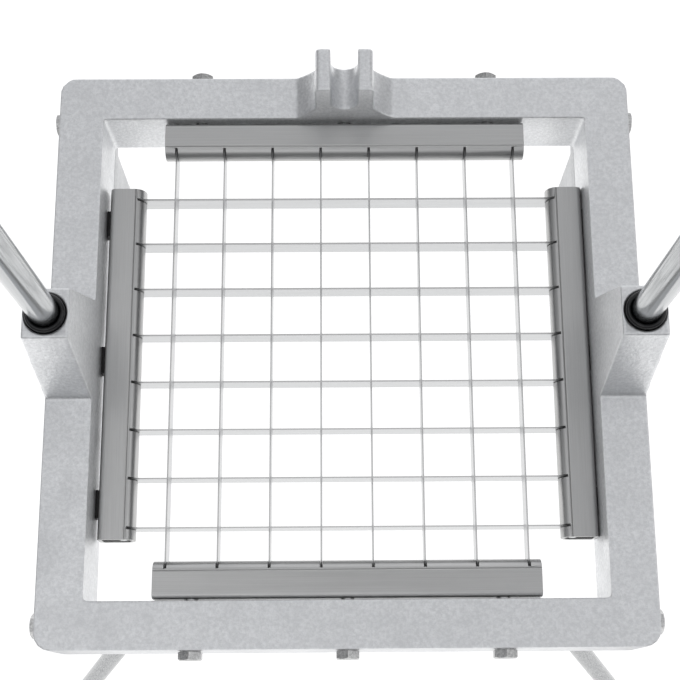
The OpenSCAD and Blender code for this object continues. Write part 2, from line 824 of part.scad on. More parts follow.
module pusher_block() {
    color(cast_colour) at_head() difference() {
        union() {
            translate([0, 0, block_bottom]) linear_extrude(block_plate_t)
                rounded_square(block_w, block_w, block_corner_r);
            for (i = [1:cells], j = [1:cells])
                translate([blade_first + (i - 1 / 2) * blade_pitch - finger_w / 2,
                           blade_first + (j - 1 / 2) * blade_pitch - finger_w / 2, finger_bottom])
                cube([finger_w, finger_w, finger_len + over]);
        }
        for (x = [-1, 1], y = [-1, 1])
            translate([x * block_screw_x, y * block_screw_x, block_bottom + sheet_t])
            cylinder(h = block_plate_t, d = block_screw_d + 2 * fixed_gap);
    }
}

module block_screws() {
    color(bright_colour) at_head() for (x = [-1, 1], y = [-1, 1])
        translate([x * block_screw_x, y * block_screw_x, pad_top]) {
            difference() {
                cylinder(h = block_screw_head_h, d = block_screw_head_d);
                translate([0, 0, block_screw_head_h / 2])
                    hex_head(block_screw_d, block_screw_head_h);
            }
            translate([0, 0, -pad_plate_t - block_plate_t / 2])
                cylinder(h = pad_plate_t + block_plate_t / 2 + over, d = block_screw_d);
        }
}

// A pin along X with a head on the right and a washer and its peened end on the left
module headed_pin(d, half_len) {
    rod_x(d, -half_len - pin_head_t - pin_groove_out, half_len + over);
    rod_x(d + 2 * pin_head_rim, half_len, half_len + pin_head_t);
    rod_x(d + 2 * pin_head_rim, -half_len - pin_head_t, -half_len);
}

module hinge_pin() {
    color(bright_colour) at_head() translate([0, 0, hinge_h])
        headed_pin(hinge_pin_d, ear_gap / 2 + ear_t);
}

// Lever

module lever() {
    color(cast_colour) at_lever() difference() {
        union() {
            along_x(lever_t) {
                circle(ear_r);
                translate([arm_len, 0]) circle(arm_end_w / 2);
                polygon([[0, arm_root_w / 2], [arm_len, arm_end_w / 2],
                         [arm_len, -arm_end_w / 2], [0, -arm_root_w / 2]]);
                rotate(handle_angle) translate([0, -arm_root_w / 2])
                    square([socket_start + over, arm_root_w]);
            }
            at_handle() translate([0, 0, socket_start]) cylinder(h = socket_len, d = socket_d);
        }
        rod_x(hinge_pin_d + 2 * running_gap, -lever_t, lever_t);
        translate([0, arm_len, 0]) rod_x(link_pin_d + 2 * fixed_gap, -lever_t, lever_t);
        translate([-fork_gap / 2, arm_len - fork_depth, -arm_root_w])
            cube([fork_gap, fork_depth + arm_end_w, 2 * arm_root_w]);
        translate([0, park_at, 0]) rod_x(clevis_pin_d + 2 * running_gap, -lever_t, lever_t);
        at_handle() translate([0, 0, socket_start + sheet_t])
            cylinder(h = socket_len + over, d = handle_rod_d + 2 * fixed_gap);
        at_handle() translate([0, 0, handle_pin_at])
            rod_x(handle_pin_d + 2 * fixed_gap, -socket_d, socket_d);
    }
}

// The handle's rod ends inside the grip
module handle_rod() {
    color(bright_colour) at_lever() at_handle() difference() {
        translate([0, 0, socket_start + sheet_t])
            cylinder(h = handle_len - grip_end_t - socket_start - sheet_t, d = handle_rod_d);
        translate([0, 0, handle_pin_at])
            rod_x(handle_pin_d + 2 * fixed_gap, -socket_d, socket_d);
    }
}

module handle_pin() {
    color(bright_colour) at_lever() at_handle() translate([0, 0, handle_pin_at])
        rod_x(handle_pin_d, -socket_d / 2, socket_d / 2);
}

module grip() {
    neck_r = grip_neck_d / 2;
    end_r = grip_d / 2;
    start = handle_len - grip_len;
    color(rubber_colour) at_lever() at_handle() translate([0, 0, start]) difference() {
        rotate_extrude() intersection() {
            union() {
                polygon([[0, 0], [neck_r - shoe_wall, 0], [neck_r, shoe_wall],
                         [end_r, grip_len - end_r], [0, grip_len - end_r]]);
                translate([0, grip_len - end_r]) circle(end_r);
            }
            square([end_r, grip_len]);
        }
        translate([0, 0, -over])
            cylinder(h = grip_len - grip_end_t + over + fixed_gap, d = handle_rod_d + 2 * fixed_gap);
    }
}

module link_pin() {
    color(bright_colour) at_lever() translate([0, arm_len, 0])
        headed_pin(link_pin_d, lever_t / 2);
}

// Link, which hangs straight down from the lever's fork

module at_link() {
    at_frame() translate([0, arm_tip.x, arm_tip.y]) children();
}

module link() {
    color(steel_colour) at_link() difference() {
        along_x(link_t) {
            circle(d = link_top_eye_d);
            translate([-link_w / 2, link_foot_len - link_len]) square([link_w, link_len - link_foot_len]);
            hull() {
                translate([0, -link_len]) circle(d = link_foot_eye_d);
                translate([-link_w / 2, link_foot_len - link_len]) square([link_w, over]);
            }
        }
        rod_x(link_pin_d + 2 * running_gap, -link_t, link_t);
        translate([0, 0, -link_len]) rod_x(clevis_pin_d + 4 * running_gap, -link_t, link_t);
    }
}

// Release pin, which joins the link to the clevis and is parked in the lever here

module release_pin() {
    head_x = lever_t / 2 + side_gap;
    color(bright_colour) at_lever() translate([0, park_at, 0]) difference() {
        union() {
            rod_x(clevis_pin_d, head_x - release_len, head_x + over);
            rod_x(release_head_d, head_x, head_x + release_head_t);
            rod_x(clevis_pin_d, head_x, head_x + release_head_t + release_eye_len);
        }
        translate([head_x + release_head_t + release_eye_len / 2, 0, 0])
            rotate([-arm_rest_angle, 0, 0])
            rod_y(ring_hole_d, -clevis_pin_d, clevis_pin_d);
    }
}

// The pull ring hangs through the eye, plumb at rest
module release_ring() {
    head_x = lever_t / 2 + side_gap;
    ring_r = (release_ring_d - ring_wire_d) / 2;
    color(bright_colour) at_lever() translate([
        head_x + release_head_t + release_eye_len / 2, park_at, 0])
        rotate([-arm_rest_angle, 0, 0]) translate([0, 0, -ring_r])
        rotate([0, 90, 0]) rotate_extrude() translate([ring_r, 0]) circle(d = ring_wire_d);
}

base_frame();
left_rear_leg();
right_rear_leg();
left_front_leg();
right_front_leg();
front_foot_pads();
rear_foot_pads();
leg_clamp_bolts();
front_holder();
rear_holder();
left_holder();
right_holder();
front_retaining_rod();
rear_retaining_rod();
left_retaining_rod();
right_retaining_rod();
front_nut_bar();
rear_nut_bar();
front_tension_bolts();
rear_tension_bolts();
left_holder_keys();
right_holder_keys();
for (i = [1:cells + 1]) long_blade(i);
for (i = [1:cells + 1]) cross_blade(i);
left_guide_rod();
right_guide_rod();
guide_rod_nuts();
left_bumper_ring();
right_bumper_ring();
guide_rod_caps();
pusher_head();
head_bushes();
pusher_block();
block_screws();
hinge_pin();
lever();
handle_rod();
handle_pin();
grip();
link_pin();
link();
release_pin();
release_ring();
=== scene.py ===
# %% [markdown]
# # A french fry cutter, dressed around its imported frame
#
# The real object is an upright cutter: a sand-cast square frame with crossed blades, two polished
# guide rods, and a lever that pushes a block of fingers through the cells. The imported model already
# holds every piece at its real size. This lesson gives each piece its edges, its surface and its
# light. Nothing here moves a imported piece: one whose shape is plain is hidden and replaced in place.

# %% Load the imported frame
import json
import math

import bmesh
import bpy
from mathutils import Matrix, Vector


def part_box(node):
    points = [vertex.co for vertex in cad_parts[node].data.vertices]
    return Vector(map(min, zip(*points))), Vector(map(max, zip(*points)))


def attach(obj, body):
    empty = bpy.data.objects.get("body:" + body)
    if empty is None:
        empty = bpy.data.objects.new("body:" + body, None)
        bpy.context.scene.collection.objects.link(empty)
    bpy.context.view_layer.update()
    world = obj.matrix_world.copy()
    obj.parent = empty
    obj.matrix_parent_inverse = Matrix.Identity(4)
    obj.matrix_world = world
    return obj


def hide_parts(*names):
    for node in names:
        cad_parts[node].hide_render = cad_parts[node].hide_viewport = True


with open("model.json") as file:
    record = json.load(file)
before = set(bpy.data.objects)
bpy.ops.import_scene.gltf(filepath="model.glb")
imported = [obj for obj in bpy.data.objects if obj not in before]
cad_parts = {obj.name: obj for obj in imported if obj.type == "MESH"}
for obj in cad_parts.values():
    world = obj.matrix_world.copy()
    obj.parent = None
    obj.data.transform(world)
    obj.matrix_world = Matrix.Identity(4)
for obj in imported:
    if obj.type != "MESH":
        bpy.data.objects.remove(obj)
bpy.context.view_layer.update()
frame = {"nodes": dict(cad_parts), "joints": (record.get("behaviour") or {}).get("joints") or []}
scene = bpy.context.scene
MM = 0.001

# %% [markdown]
# ## Where things are
#
# Sizes are in millimetres and are turned into metres when a mesh is made. Places come from the
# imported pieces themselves, so that they follow the model if it is packed again with other sizes.
# The middle of the frame's top face is the reference point for the frame's fittings and the camera.

# %% Reference places
FRAME_DEPTH = 16
frame_low, frame_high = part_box("base_frame")
frame_y = (frame_low.y + frame_high.y) / 2
top_z = frame_low.z + FRAME_DEPTH * MM
top_middle = Vector((0, frame_y, top_z))
joints = {joint["name"]: joint for joint in frame["joints"]}
hinge = Vector(joints["lever_swing"]["pos_m"])
arm_tip = Vector(joints["link_swing"]["pos_m"])
print("middle of the frame's top:", [round(value, 4) for value in top_middle])


def box_middle(node):
    """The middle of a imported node's box."""
    low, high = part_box(node)
    return (low + high) / 2


handle_axis = (box_middle("handle_rod") - hinge).normalized()
print("the handle points along", [round(value, 3) for value in handle_axis])

# %% [markdown]
# ## The camera
#
# A photograph of this object looks down into the cells from a little in front of the frame. Its lens
# and place were worked out from the frame's straight edges, so the same camera shows every piece
# where the photograph has it. The picture is the upper part of a taller one, so the lens's axis meets
# it below its middle, which is what a camera's shift is for.

# %% Camera
PICTURE_SIZE = 680
FOCAL_PIXELS = 1152
AXIS_RIGHT_PIXELS, AXIS_DOWN_PIXELS = 13.4, 118.3
SENSOR_WIDTH = 36
CAMERA_PLACE = Vector((-0.4, -90.6, 278.2))
CAMERA_TURNS = (12.53, -0.33, -0.43)


def linked(name, data):
    """A new object in the scene."""
    piece = bpy.data.objects.new(name, data)
    scene.collection.objects.link(piece)
    return piece


def make_camera():
    """A camera that looks down and a little forwards at the cells."""
    data = bpy.data.cameras.new("camera")
    data.sensor_width = SENSOR_WIDTH
    data.lens = SENSOR_WIDTH * FOCAL_PIXELS / PICTURE_SIZE
    data.shift_x = -AXIS_RIGHT_PIXELS / PICTURE_SIZE
    data.shift_y = AXIS_DOWN_PIXELS / PICTURE_SIZE
    camera = linked("camera", data)
    camera.location = top_middle + CAMERA_PLACE * MM
    camera.rotation_euler = [math.radians(turn) for turn in CAMERA_TURNS]
    scene.camera = camera
    print(f"lens {data.lens:.1f} mm")


make_camera()

# %% [markdown]
# ## Node helpers
#
# The sky, the materials and the repeated pieces are trees of nodes. `add` makes one node, sets its
# options and either types a value into an input or links another node's output to it. `new_group`
# starts a node group: an effect with named sockets that several users share with their own values.

# %% Node helpers


def add(tree, kind, inputs=None, **options):
    """One node, with its inputs typed in or linked and its options set."""
    made = tree.nodes.new(kind)
    for key, value in options.items():
        setattr(made, key, value)
    for key, value in (inputs or {}).items():
        if isinstance(value, bpy.types.NodeSocket):
            tree.links.new(value, made.inputs[key])
        else:
            made.inputs[key].default_value = value
    return made


def new_group(name, inputs, outputs, kind="ShaderNodeTree"):
    """A node group with its input and output nodes. Its sockets are labels and what they hold."""
    tree = bpy.data.node_groups.new(name, kind)
    for way, sockets in (("INPUT", inputs), ("OUTPUT", outputs)):
        for label, holds in sockets.items():
            tree.interface.new_socket(label, in_out=way, socket_type=f"NodeSocket{holds}")
    return tree, tree.nodes.new("NodeGroupInput"), tree.nodes.new("NodeGroupOutput")


def in_millimetres(tree, place):
    """The place as millimetres, so that a grain's size can be typed as it would be measured."""
    return add(tree, "ShaderNodeVectorMath", {0: place, "Scale": 1 / MM}, operation="SCALE").outputs[0]


def remapped(tree, value, old, new, **options):
    """A value moved from one range to another and clamped there."""
    limits = dict(zip(("From Min", "From Max", "To Min", "To Max"), (*old, *new)))
    return add(tree, "ShaderNodeMapRange", {"Value": value, **limits}, **options).outputs["Result"]


def maths(tree, operation, first, second):
    """One operation on two values."""
    return add(tree, "ShaderNodeMath", {0: first, 1: second}, operation=operation).outputs[0]


WHOLE = (0, 1)
SMOOTH = {"interpolation_type": "SMOOTHSTEP"}
print("node helpers ready")

# %% [markdown]
# ## Floor and light
#
# A metal looks grey or bright only by what it mirrors, so the surroundings are the real light here.
# The object stands on a light table, so it stays pure white between the blades, and walls that look
# down on it are bright. The sky is bright overhead, for the top faces. Low down it is bright at the
# back, as a white sweep is, and dim in front, which darkens the face of the clevis.
# Four soft boxes stand around it: above the left, at the back, on the right and in front. The round
# noses of the holders and the fillets of the casting mirror them. The camera itself sees a plain
# pale backdrop.

# %% Floor, lamps and sky
FLOOR_RADIUS, FLOOR_SIDES = 700, 96
FLOOR_TONE, FLOOR_ROUGHNESS, FLOOR_GLOW = (0.2, 0.2, 0.2, 1), 0.9, 1.0
SWEEP_RANGE, DOME_RANGE, GROUND_RANGE = (0.6, 0.95), (0.5, 0.84), (-0.1, 0)
SKY_TINT, BACKDROP = (0.985, 0.995, 1.02, 1), 0.93


def make_floor():
    """A round white floor at the height of the feet."""
    mesh = bpy.data.meshes.new("floor")
    angles = [2 * math.pi * step / FLOOR_SIDES for step in range(FLOOR_SIDES)]
    points = [(FLOOR_RADIUS * MM * math.cos(a), FLOOR_RADIUS * MM * math.sin(a), 0) for a in angles]
    mesh.from_pydata(points, [], [list(range(FLOOR_SIDES))])
    material = bpy.data.materials.new("white_floor")
    material.use_nodes = True
    shader = material.node_tree.nodes["Principled BSDF"]
    for label, value in (("Base Color", FLOOR_TONE), ("Roughness", FLOOR_ROUGHNESS),
                         ("Emission Color", (1, 1, 1, 1)), ("Emission Strength", FLOOR_GLOW)):
        shader.inputs[label].default_value = value
    mesh.materials.append(material)
    linked("floor", mesh)


def make_lamp(name, place, width, watts):
    """A square soft light at a place, in millimetres from the frame's top, which it is turned to."""
    data = bpy.data.lights.new(name, "AREA")
    data.shape = "SQUARE"
    data.size = width * MM
    data.energy = watts
    lamp = linked(name, data)
    lamp.location = top_middle + Vector(place) * MM
    aim = top_middle - lamp.location
    lamp.rotation_mode = "QUATERNION"
    lamp.rotation_quaternion = aim.to_track_quat("-Z", "Y")


def make_sky(front, back, zenith, ground):
    """A grey sky by the way it is looked at: low in front, low at the back, overhead and below."""
    world = bpy.data.worlds.new("studio_sky")
    world.use_nodes = True
    tree = world.node_tree
    looked = add(tree, "ShaderNodeTexCoord").outputs["Generated"]
    way = add(tree, "ShaderNodeSeparateXYZ", {0: looked}).outputs
    horizon = remapped(tree, way["Y"], SWEEP_RANGE, (front, back), **SMOOTH)
    dome = remapped(tree, way["Z"], DOME_RANGE, (horizon, zenith), **SMOOTH)
    below = remapped(tree, way["Z"], GROUND_RANGE, (ground, 0), **SMOOTH)
    brightest = maths(tree, "MAXIMUM", dome, below)
    camera_ray = add(tree, "ShaderNodeLightPath").outputs["Is Camera Ray"]
    seen = add(tree, "ShaderNodeMix", {"Factor": camera_ray, "A": brightest, "B": BACKDROP})
    background = tree.nodes["Background"].inputs
    tree.links.new(seen.outputs["Result"], background["Strength"])
    background["Color"].default_value = SKY_TINT
    scene.world = world


make_floor()
make_lamp("overhead_softbox", (-350, -50, 1100), width=1000, watts=0.62)
make_lamp("rear_softbox", (100, 950, 750), width=600, watts=0.35)
make_lamp("right_softbox", (950, 100, 650), width=900, watts=1.5)
make_lamp("front_softbox", (-200, -900, 1000), width=600, watts=0.6)
make_sky(front=0.24, back=0.95, zenith=0.63, ground=0.9)
scene.view_settings.view_transform = "Standard"
print("floor, four soft boxes and the sky are in place")

# %% [markdown]
# ## Surface effects
#
# Four effects cover the whole machine. Sand-cast aluminium has grains as wide as the sand, with
# pits between them. Sheet steel and rods have fine lines along the way they were brushed or drawn.
# Hands leave cloudy smudges that change the gloss, and on the castings the tone a little. Handling
# and tumbling brighten the castings' edges, and the lighter edges are also a painted highlight where
# the light would catch them; the mesh's own pointiness finds them. Each effect puts
# out plain values, so the same group can serve colour, roughness and height.

# %% Sand-cast grain
GRAIN_DETAIL, GRAIN_ROUGHNESS, GRAIN_RANGE, GRAIN_SHARE = 4, 0.62, (0.38, 0.66), 0.7
PIT_DENSITY, PIT_RANGE, PIT_SHARE = 0.55, (0.08, 0.5), 0.3


def noise(tree, place, density, detail, roughness=0.5):
    """Clouds of noise, by how many of them a millimetre holds."""
    inputs = {"Vector": place, "Scale": density, "Detail": detail, "Roughness": roughness}
    return add(tree, "ShaderNodeTexNoise", inputs).outputs["Fac"]


def build_cast_grain():
    """Grains and pits of a sand-cast surface."""
    tree, given, result = new_group("sand_cast_grain", {"Place": "Vector", "Grain": "Float"},
                                    {"Height": "Float", "Speckle": "Float"})
    place = in_millimetres(tree, given.outputs["Place"])
    density = maths(tree, "DIVIDE", 1.0, given.outputs["Grain"])
    grains = noise(tree, place, density, GRAIN_DETAIL, GRAIN_ROUGHNESS)
    wide = maths(tree, "MULTIPLY", density, PIT_DENSITY)
    cells = add(tree, "ShaderNodeTexVoronoi", {"Vector": place, "Scale": wide}).outputs["Distance"]
    pits = remapped(tree, cells, PIT_RANGE, WHOLE)
    rough = maths(tree, "MULTIPLY", grains, GRAIN_SHARE)
    deep = maths(tree, "MULTIPLY", pits, PIT_SHARE)
    tree.links.new(maths(tree, "ADD", rough, deep), result.inputs["Height"])
    tree.links.new(remapped(tree, grains, GRAIN_RANGE, WHOLE), result.inputs["Speckle"])
    return tree


cast_grain = build_cast_grain()
print("group", cast_grain.name)

# %% Brushed grain
LINE_DETAIL, LINE_ROUGHNESS, LINE_RANGE = 5, 0.68, (0.34, 0.66)


def build_brushed_grain():
    """Fine lines along one direction. Stretch is how many lines a millimetre holds on each axis."""
    tree, given, result = new_group("brushed_grain", {"Place": "Vector", "Stretch": "Vector"},
                                    {"Height": "Float", "Streak": "Float"})
    place = in_millimetres(tree, given.outputs["Place"])
    pulled = add(tree, "ShaderNodeVectorMath", {0: place, 1: given.outputs["Stretch"]},
                 operation="MULTIPLY").outputs[0]
    lines = noise(tree, pulled, 1, LINE_DETAIL, LINE_ROUGHNESS)
    tree.links.new(lines, result.inputs["Height"])
    tree.links.new(remapped(tree, lines, LINE_RANGE, WHOLE), result.inputs["Streak"])
    return tree


brushed_grain = build_brushed_grain()
print("group", brushed_grain.name)

# %% Smudges, and edge wear with a painted highlight
CLOUD_DETAIL, CLOUD_RANGE = 3, (0.3, 0.7)
FLAT_POINTINESS = 0.505


def build_smudges():
    """Soft clouds of a size in millimetres."""
    tree, given, result = new_group("smudges", {"Place": "Vector", "Size": "Float"}, {"Cloud": "Float"})
    place = in_millimetres(tree, given.outputs["Place"])
    density = maths(tree, "DIVIDE", 1.0, given.outputs["Size"])
    clouds = noise(tree, place, density, CLOUD_DETAIL)
    tree.links.new(remapped(tree, clouds, CLOUD_RANGE, WHOLE), result.inputs["Cloud"])
    return tree


def build_wear_and_highlight():
    """A mask that is 1 on sharp outer edges, where wear and a painted highlight lighten a casting.
    Reach is how far past flat the mask takes to get there.
    """
    tree, given, result = new_group("edge_wear", {"Reach": "Float"}, {"Worn": "Float"})
    sharp = add(tree, "ShaderNodeNewGeometry").outputs["Pointiness"]
    past_flat = maths(tree, "SUBTRACT", sharp, FLAT_POINTINESS)
    share = maths(tree, "DIVIDE", past_flat, given.outputs["Reach"])
    tree.links.new(remapped(tree, share, WHOLE, WHOLE), result.inputs["Worn"])
    return tree


smudges = build_smudges()
edge_wear = build_wear_and_highlight()
print("groups", smudges.name, edge_wear.name)

# %% [markdown]
# ## Materials
#
# `Finish` collects what every material here needs: the Principled shader, the piece's Object
# coordinates, and short calls that place a shared group, mix two colours, and turn a height into
# small bumps. Each material below is then a few lines.

# %% Material helper


class Finish:
    """A material in the making."""

    def __init__(self, name, metallic):
        self.material = bpy.data.materials.new(name)
        self.material.use_nodes = True
        self.tree = self.material.node_tree
        self.shader = self.tree.nodes["Principled BSDF"]
        self.shader.inputs["Metallic"].default_value = metallic
        self.place = add(self.tree, "ShaderNodeTexCoord").outputs["Object"]

    def group(self, tree, **inputs):
        """One of the shared effects, with its own values."""
        made = add(self.tree, "ShaderNodeGroup", inputs, node_tree=tree)
        if "Place" in made.inputs:
            self.tree.links.new(self.place, made.inputs["Place"])
        return made

    def cloud(self, size):
        """Smudges of a size in millimetres."""
        return self.group(smudges, Size=size).outputs["Cloud"]

    def mixed(self, factor, first, second):
        """A colour between two colours that are linked or typed."""
        # A mix node's labels repeat for each kind of data, so its colour sockets go by number
        typed = {number: (*value, 1) if isinstance(value, tuple) else value
                 for number, value in ((0, factor), (6, first), (7, second))}
        return add(self.tree, "ShaderNodeMix", typed, data_type="RGBA").outputs[2]

    def scaled(self, value, share):
        """A share of a value."""
        return maths(self.tree, "MULTIPLY", value, share)

    def colour(self, socket):
        """The shader's colour."""
        self.tree.links.new(socket, self.shader.inputs["Base Color"])

    def roughness(self, value, gloss):
        """Roughness that moves through a range with a value from 0 to 1."""
        self.tree.links.new(remapped(self.tree, value, WHOLE, gloss), self.shader.inputs["Roughness"])

    def bumps(self, height, depth, strength, under=None):
        """Small bumps of a depth in millimetres, on top of the ones that are under them."""
        inputs = {"Height": height, "Distance": depth * MM, "Strength": strength}
        if under is not None:
            inputs["Normal"] = under
        normal = add(self.tree, "ShaderNodeBump", inputs).outputs["Normal"]
        self.tree.links.new(normal, self.shader.inputs["Normal"])
        return normal


print("material helper ready")

# %% [markdown]
# ### Cast and machined aluminium
#
# The frame, the pusher head and the lever are tumbled sand castings: light grey and satin, with a
# speckle of two sizes, and a little brighter along the edges, partly from wear and partly as a painted
# highlight. The rear legs use a darker copy of the same cast aluminium: painted shade, because the
# glowing floor lights them too brightly. The pusher block is milled, so it has straight cutter lines
# and a smoother face.

# %% Aluminium
COARSE_GRAIN, FINE_GRAIN, CAST_CLOUDS, WEAR_HIGHLIGHT_REACH = 0.8, 0.35, 10.0, 0.06
SPECKLE_SHARE, FINE_SHARE, CLOUD_SHARE, WEAR_HIGHLIGHT_SHARE = 0.85, 0.3, 0.35, 0.5
COARSE_BUMPS, FINE_BUMPS, MILLED_BUMPS = (0.13, 0.8), (0.06, 0.6), (0.03, 0.6)
CAST_METALLIC, CAST_GLOSS, WORN_HIGHLIGHT_TONE = 0.9, (0.36, 0.48), (0.97, 0.975, 0.98)
FRAME_TONES = ((0.73, 0.738, 0.748), (0.95, 0.958, 0.968))
# Darker tones for the rear legs: painted shade on the same cast aluminium.
REAR_LEG_SHADED_TONES = ((0.51, 0.518, 0.528), (0.68, 0.688, 0.698))
MILLED_TONES, MILLED_GLOSS = ((0.74, 0.745, 0.75), (0.84, 0.845, 0.85)), (0.29, 0.40)
MILLED_LINES, MILLED_CLOUDS, MILLED_SHARE = (0.05, 2.2, 2.2), 20.0, 0.4


def cast_aluminium(name, dark, light):
    """Sand-cast aluminium between two greys."""
    finish = Finish(name, CAST_METALLIC)
    coarse = finish.group(cast_grain, Grain=COARSE_GRAIN).outputs
    fine = finish.group(cast_grain, Grain=FINE_GRAIN).outputs
    cloud = finish.cloud(CAST_CLOUDS)
    worn_and_lit = finish.group(edge_wear, Reach=WEAR_HIGHLIGHT_REACH).outputs["Worn"]
    base = finish.mixed(finish.scaled(coarse["Speckle"], SPECKLE_SHARE), dark, light)
    base = finish.mixed(finish.scaled(fine["Speckle"], FINE_SHARE), base, dark)
    base = finish.mixed(finish.scaled(cloud, CLOUD_SHARE), base, dark)
    # Edges go towards a light tone: partly real wear, partly a painted highlight where light catches
    # them.
    finish.colour(finish.mixed(finish.scaled(worn_and_lit, WEAR_HIGHLIGHT_SHARE), base, WORN_HIGHLIGHT_TONE))
    finish.roughness(cloud, CAST_GLOSS)
    under = finish.bumps(coarse["Height"], *COARSE_BUMPS)
    finish.bumps(fine["Height"], *FINE_BUMPS, under)
    return finish.material


def milled_aluminium():
    """Aluminium with straight lines from the cutter."""
    finish = Finish("milled_aluminium", 1.0)
    lines = finish.group(brushed_grain, Stretch=MILLED_LINES).outputs
    finish.colour(finish.mixed(finish.scaled(lines["Streak"], MILLED_SHARE), *MILLED_TONES))
    finish.roughness(finish.cloud(MILLED_CLOUDS), MILLED_GLOSS)
    finish.bumps(lines["Height"], *MILLED_BUMPS)
    return finish.material


CAST = cast_aluminium("cast_aluminium_grey", *FRAME_TONES)
CAST_LEG_SHADED = cast_aluminium("cast_aluminium_leg", *REAR_LEG_SHADED_TONES)
MILLED = milled_aluminium()
print("materials", CAST.name, CAST_LEG_SHADED.name, MILLED.name)

# %% [markdown]
# ### Steels
#
# The holders and blades are stainless sheet with brushed lines along their length, so a holder that
# runs across needs its lines turned from one that runs to the back. The rods and pins are bright:
# little roughness and a few drawn lines. The bolts are plated, and so duller and more mottled.

# %% Steels
ALONG_X, ALONG_Y, ALONG_Z = (0.04, 6.0, 6.0), (6.0, 0.04, 6.0), (6.0, 6.0, 0.04)
SATIN, POLISHED, FINE_BUMP = (0.29, 0.36), (0.12, 0.20), 0.5
WIDE_CLOUDS, SMALL_CLOUDS, BOLT_CLOUDS = 14.0, 8.0, 4.0
HOLDER_TONES = ((0.49, 0.49, 0.485), (0.56, 0.56, 0.555))
BLADE_TONES = ((0.56, 0.565, 0.57), (0.65, 0.655, 0.66))
PLAIN_TONES = ((0.48, 0.48, 0.475), (0.60, 0.60, 0.595))
BRIGHT_TONES = ((0.46, 0.47, 0.475), (0.58, 0.59, 0.595))
# The front legs are the same bright steel as the rods, made darker and more mottled: painted shade for
# the dark reflections along the chrome.
LEG_SHADED_TONES = ((0.24, 0.245, 0.25), (0.56, 0.565, 0.57))
BOLT_TONES = ((0.42, 0.42, 0.42), (0.78, 0.78, 0.775))
# Near black for the holder keys: painted shade for the deep shadow of the narrow gaps behind the
# holders.
KEY_SHADE_TONES = ((0.02, 0.02, 0.02), (0.045, 0.045, 0.045))
BRONZE_TONES = ((0.55, 0.37, 0.18), (0.66, 0.46, 0.24))
EDGE_TONE, BLADE_GLOSS, BLADE_BUMPS = (0.46, 0.46, 0.465), (0.29, 0.42), 0.008
BEVEL_HEIGHT, BEVEL_BLEND = 0.8, 0.8


def steel(name, colours, gloss, stretch, depth, cloud_size=WIDE_CLOUDS):
    """Steel between two colours and two roughnesses, with lines drawn along one axis."""
    finish = Finish(name, 1.0)
    lines = finish.group(brushed_grain, Stretch=stretch).outputs
    finish.colour(finish.mixed(lines["Streak"], *colours))
    finish.roughness(finish.cloud(cloud_size), gloss)
    finish.bumps(lines["Height"], depth, FINE_BUMP)
    return finish.material


def blade_steel(name, stretch, sample):
    """Blade steel whose ground edge, the top of the sample blade, is a dull dark line."""
    finish = Finish(name, 1.0)
    lines = finish.group(brushed_grain, Stretch=stretch).outputs
    edge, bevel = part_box(sample)[1].z, BEVEL_HEIGHT * MM
    height = add(finish.tree, "ShaderNodeSeparateXYZ", {0: finish.place}).outputs["Z"]
    ground = remapped(finish.tree, height, (edge - bevel, edge - BEVEL_BLEND * bevel), WHOLE)
    finish.colour(finish.mixed(ground, finish.mixed(lines["Streak"], *BLADE_TONES), EDGE_TONE))
    finish.roughness(ground, BLADE_GLOSS)
    finish.bumps(lines["Height"], BLADE_BUMPS, FINE_BUMP)
    return finish.material


HOLDER_X = steel("holder_steel_across", HOLDER_TONES, SATIN, ALONG_X, 0.012)
HOLDER_Y = steel("holder_steel_to_back", HOLDER_TONES, SATIN, ALONG_Y, 0.012)
BLADE_X = blade_steel("blade_steel_across", ALONG_X, "cross_blade_1")
BLADE_Y = blade_steel("blade_steel_to_back", ALONG_Y, "long_blade_1")
PLAIN = steel("plain_steel_bar", PLAIN_TONES, (0.30, 0.42), ALONG_Z, 0.02)
BRIGHT = steel("bright_steel_bar", BRIGHT_TONES, POLISHED, ALONG_Z, 0.004, SMALL_CLOUDS)
# A darker copy of the bright steel for the front legs, which paints in their dark reflections.
LEG_BAR_SHADED = steel("bright_steel_leg", LEG_SHADED_TONES, POLISHED, (3.0, 3.0, 3.0), 0.004, SMALL_CLOUDS)
BOLT = steel("bolt_steel", BOLT_TONES, (0.32, 0.46), (2.0, 2.0, 2.0), 0.06, BOLT_CLOUDS)
# The keys' steel is painted near black, which stands in for the shade of the gaps they sit in.
KEY_SHADE_STEEL = steel("blackened_steel", KEY_SHADE_TONES, (0.35, 0.5), ALONG_Y, 0.01)
BRONZE = steel("bush_bronze", BRONZE_TONES, (0.29, 0.4), (5.0, 5.0, 5.0), 0.01)
print("nine steels and a bronze")

# %% [markdown]
# ### Rubbers
#
# The feet are hard black rubber with a faint mottle, the rings are glossy, the grip soft and dull.
# Black rubber isn't black in a picture: its sheen carries the shape, so roughness does the work.

# %% Rubbers
FOOT_TONES = ((0.016, 0.016, 0.017), (0.03, 0.03, 0.031))
RING_TONES = ((0.005, 0.005, 0.006), (0.01, 0.01, 0.011))
GRIP_TONES = ((0.02, 0.02, 0.021), (0.036, 0.036, 0.037))
RUBBER_CLOUDS = 10.0


def rubber(name, tones, gloss, grain_size, depth):
    """Rubber between two near blacks and two roughnesses."""
    finish = Finish(name, 0.0)
    grain = finish.group(cast_grain, Grain=grain_size).outputs
    finish.colour(finish.mixed(grain["Speckle"], *tones))
    finish.roughness(finish.cloud(RUBBER_CLOUDS), gloss)
    finish.bumps(grain["Height"], depth, FINE_BUMP)
    return finish.material


RUBBER = rubber("black_rubber_hard", FOOT_TONES, (0.36, 0.5), 0.5, 0.02)
RING_RUBBER = rubber("black_rubber_glossy", RING_TONES, (0.14, 0.24), 0.5, 0.008)
GRIP_RUBBER = rubber("grip_rubber_soft", GRIP_TONES, (0.55, 0.7), 0.35, 0.04)
print("three rubbers")

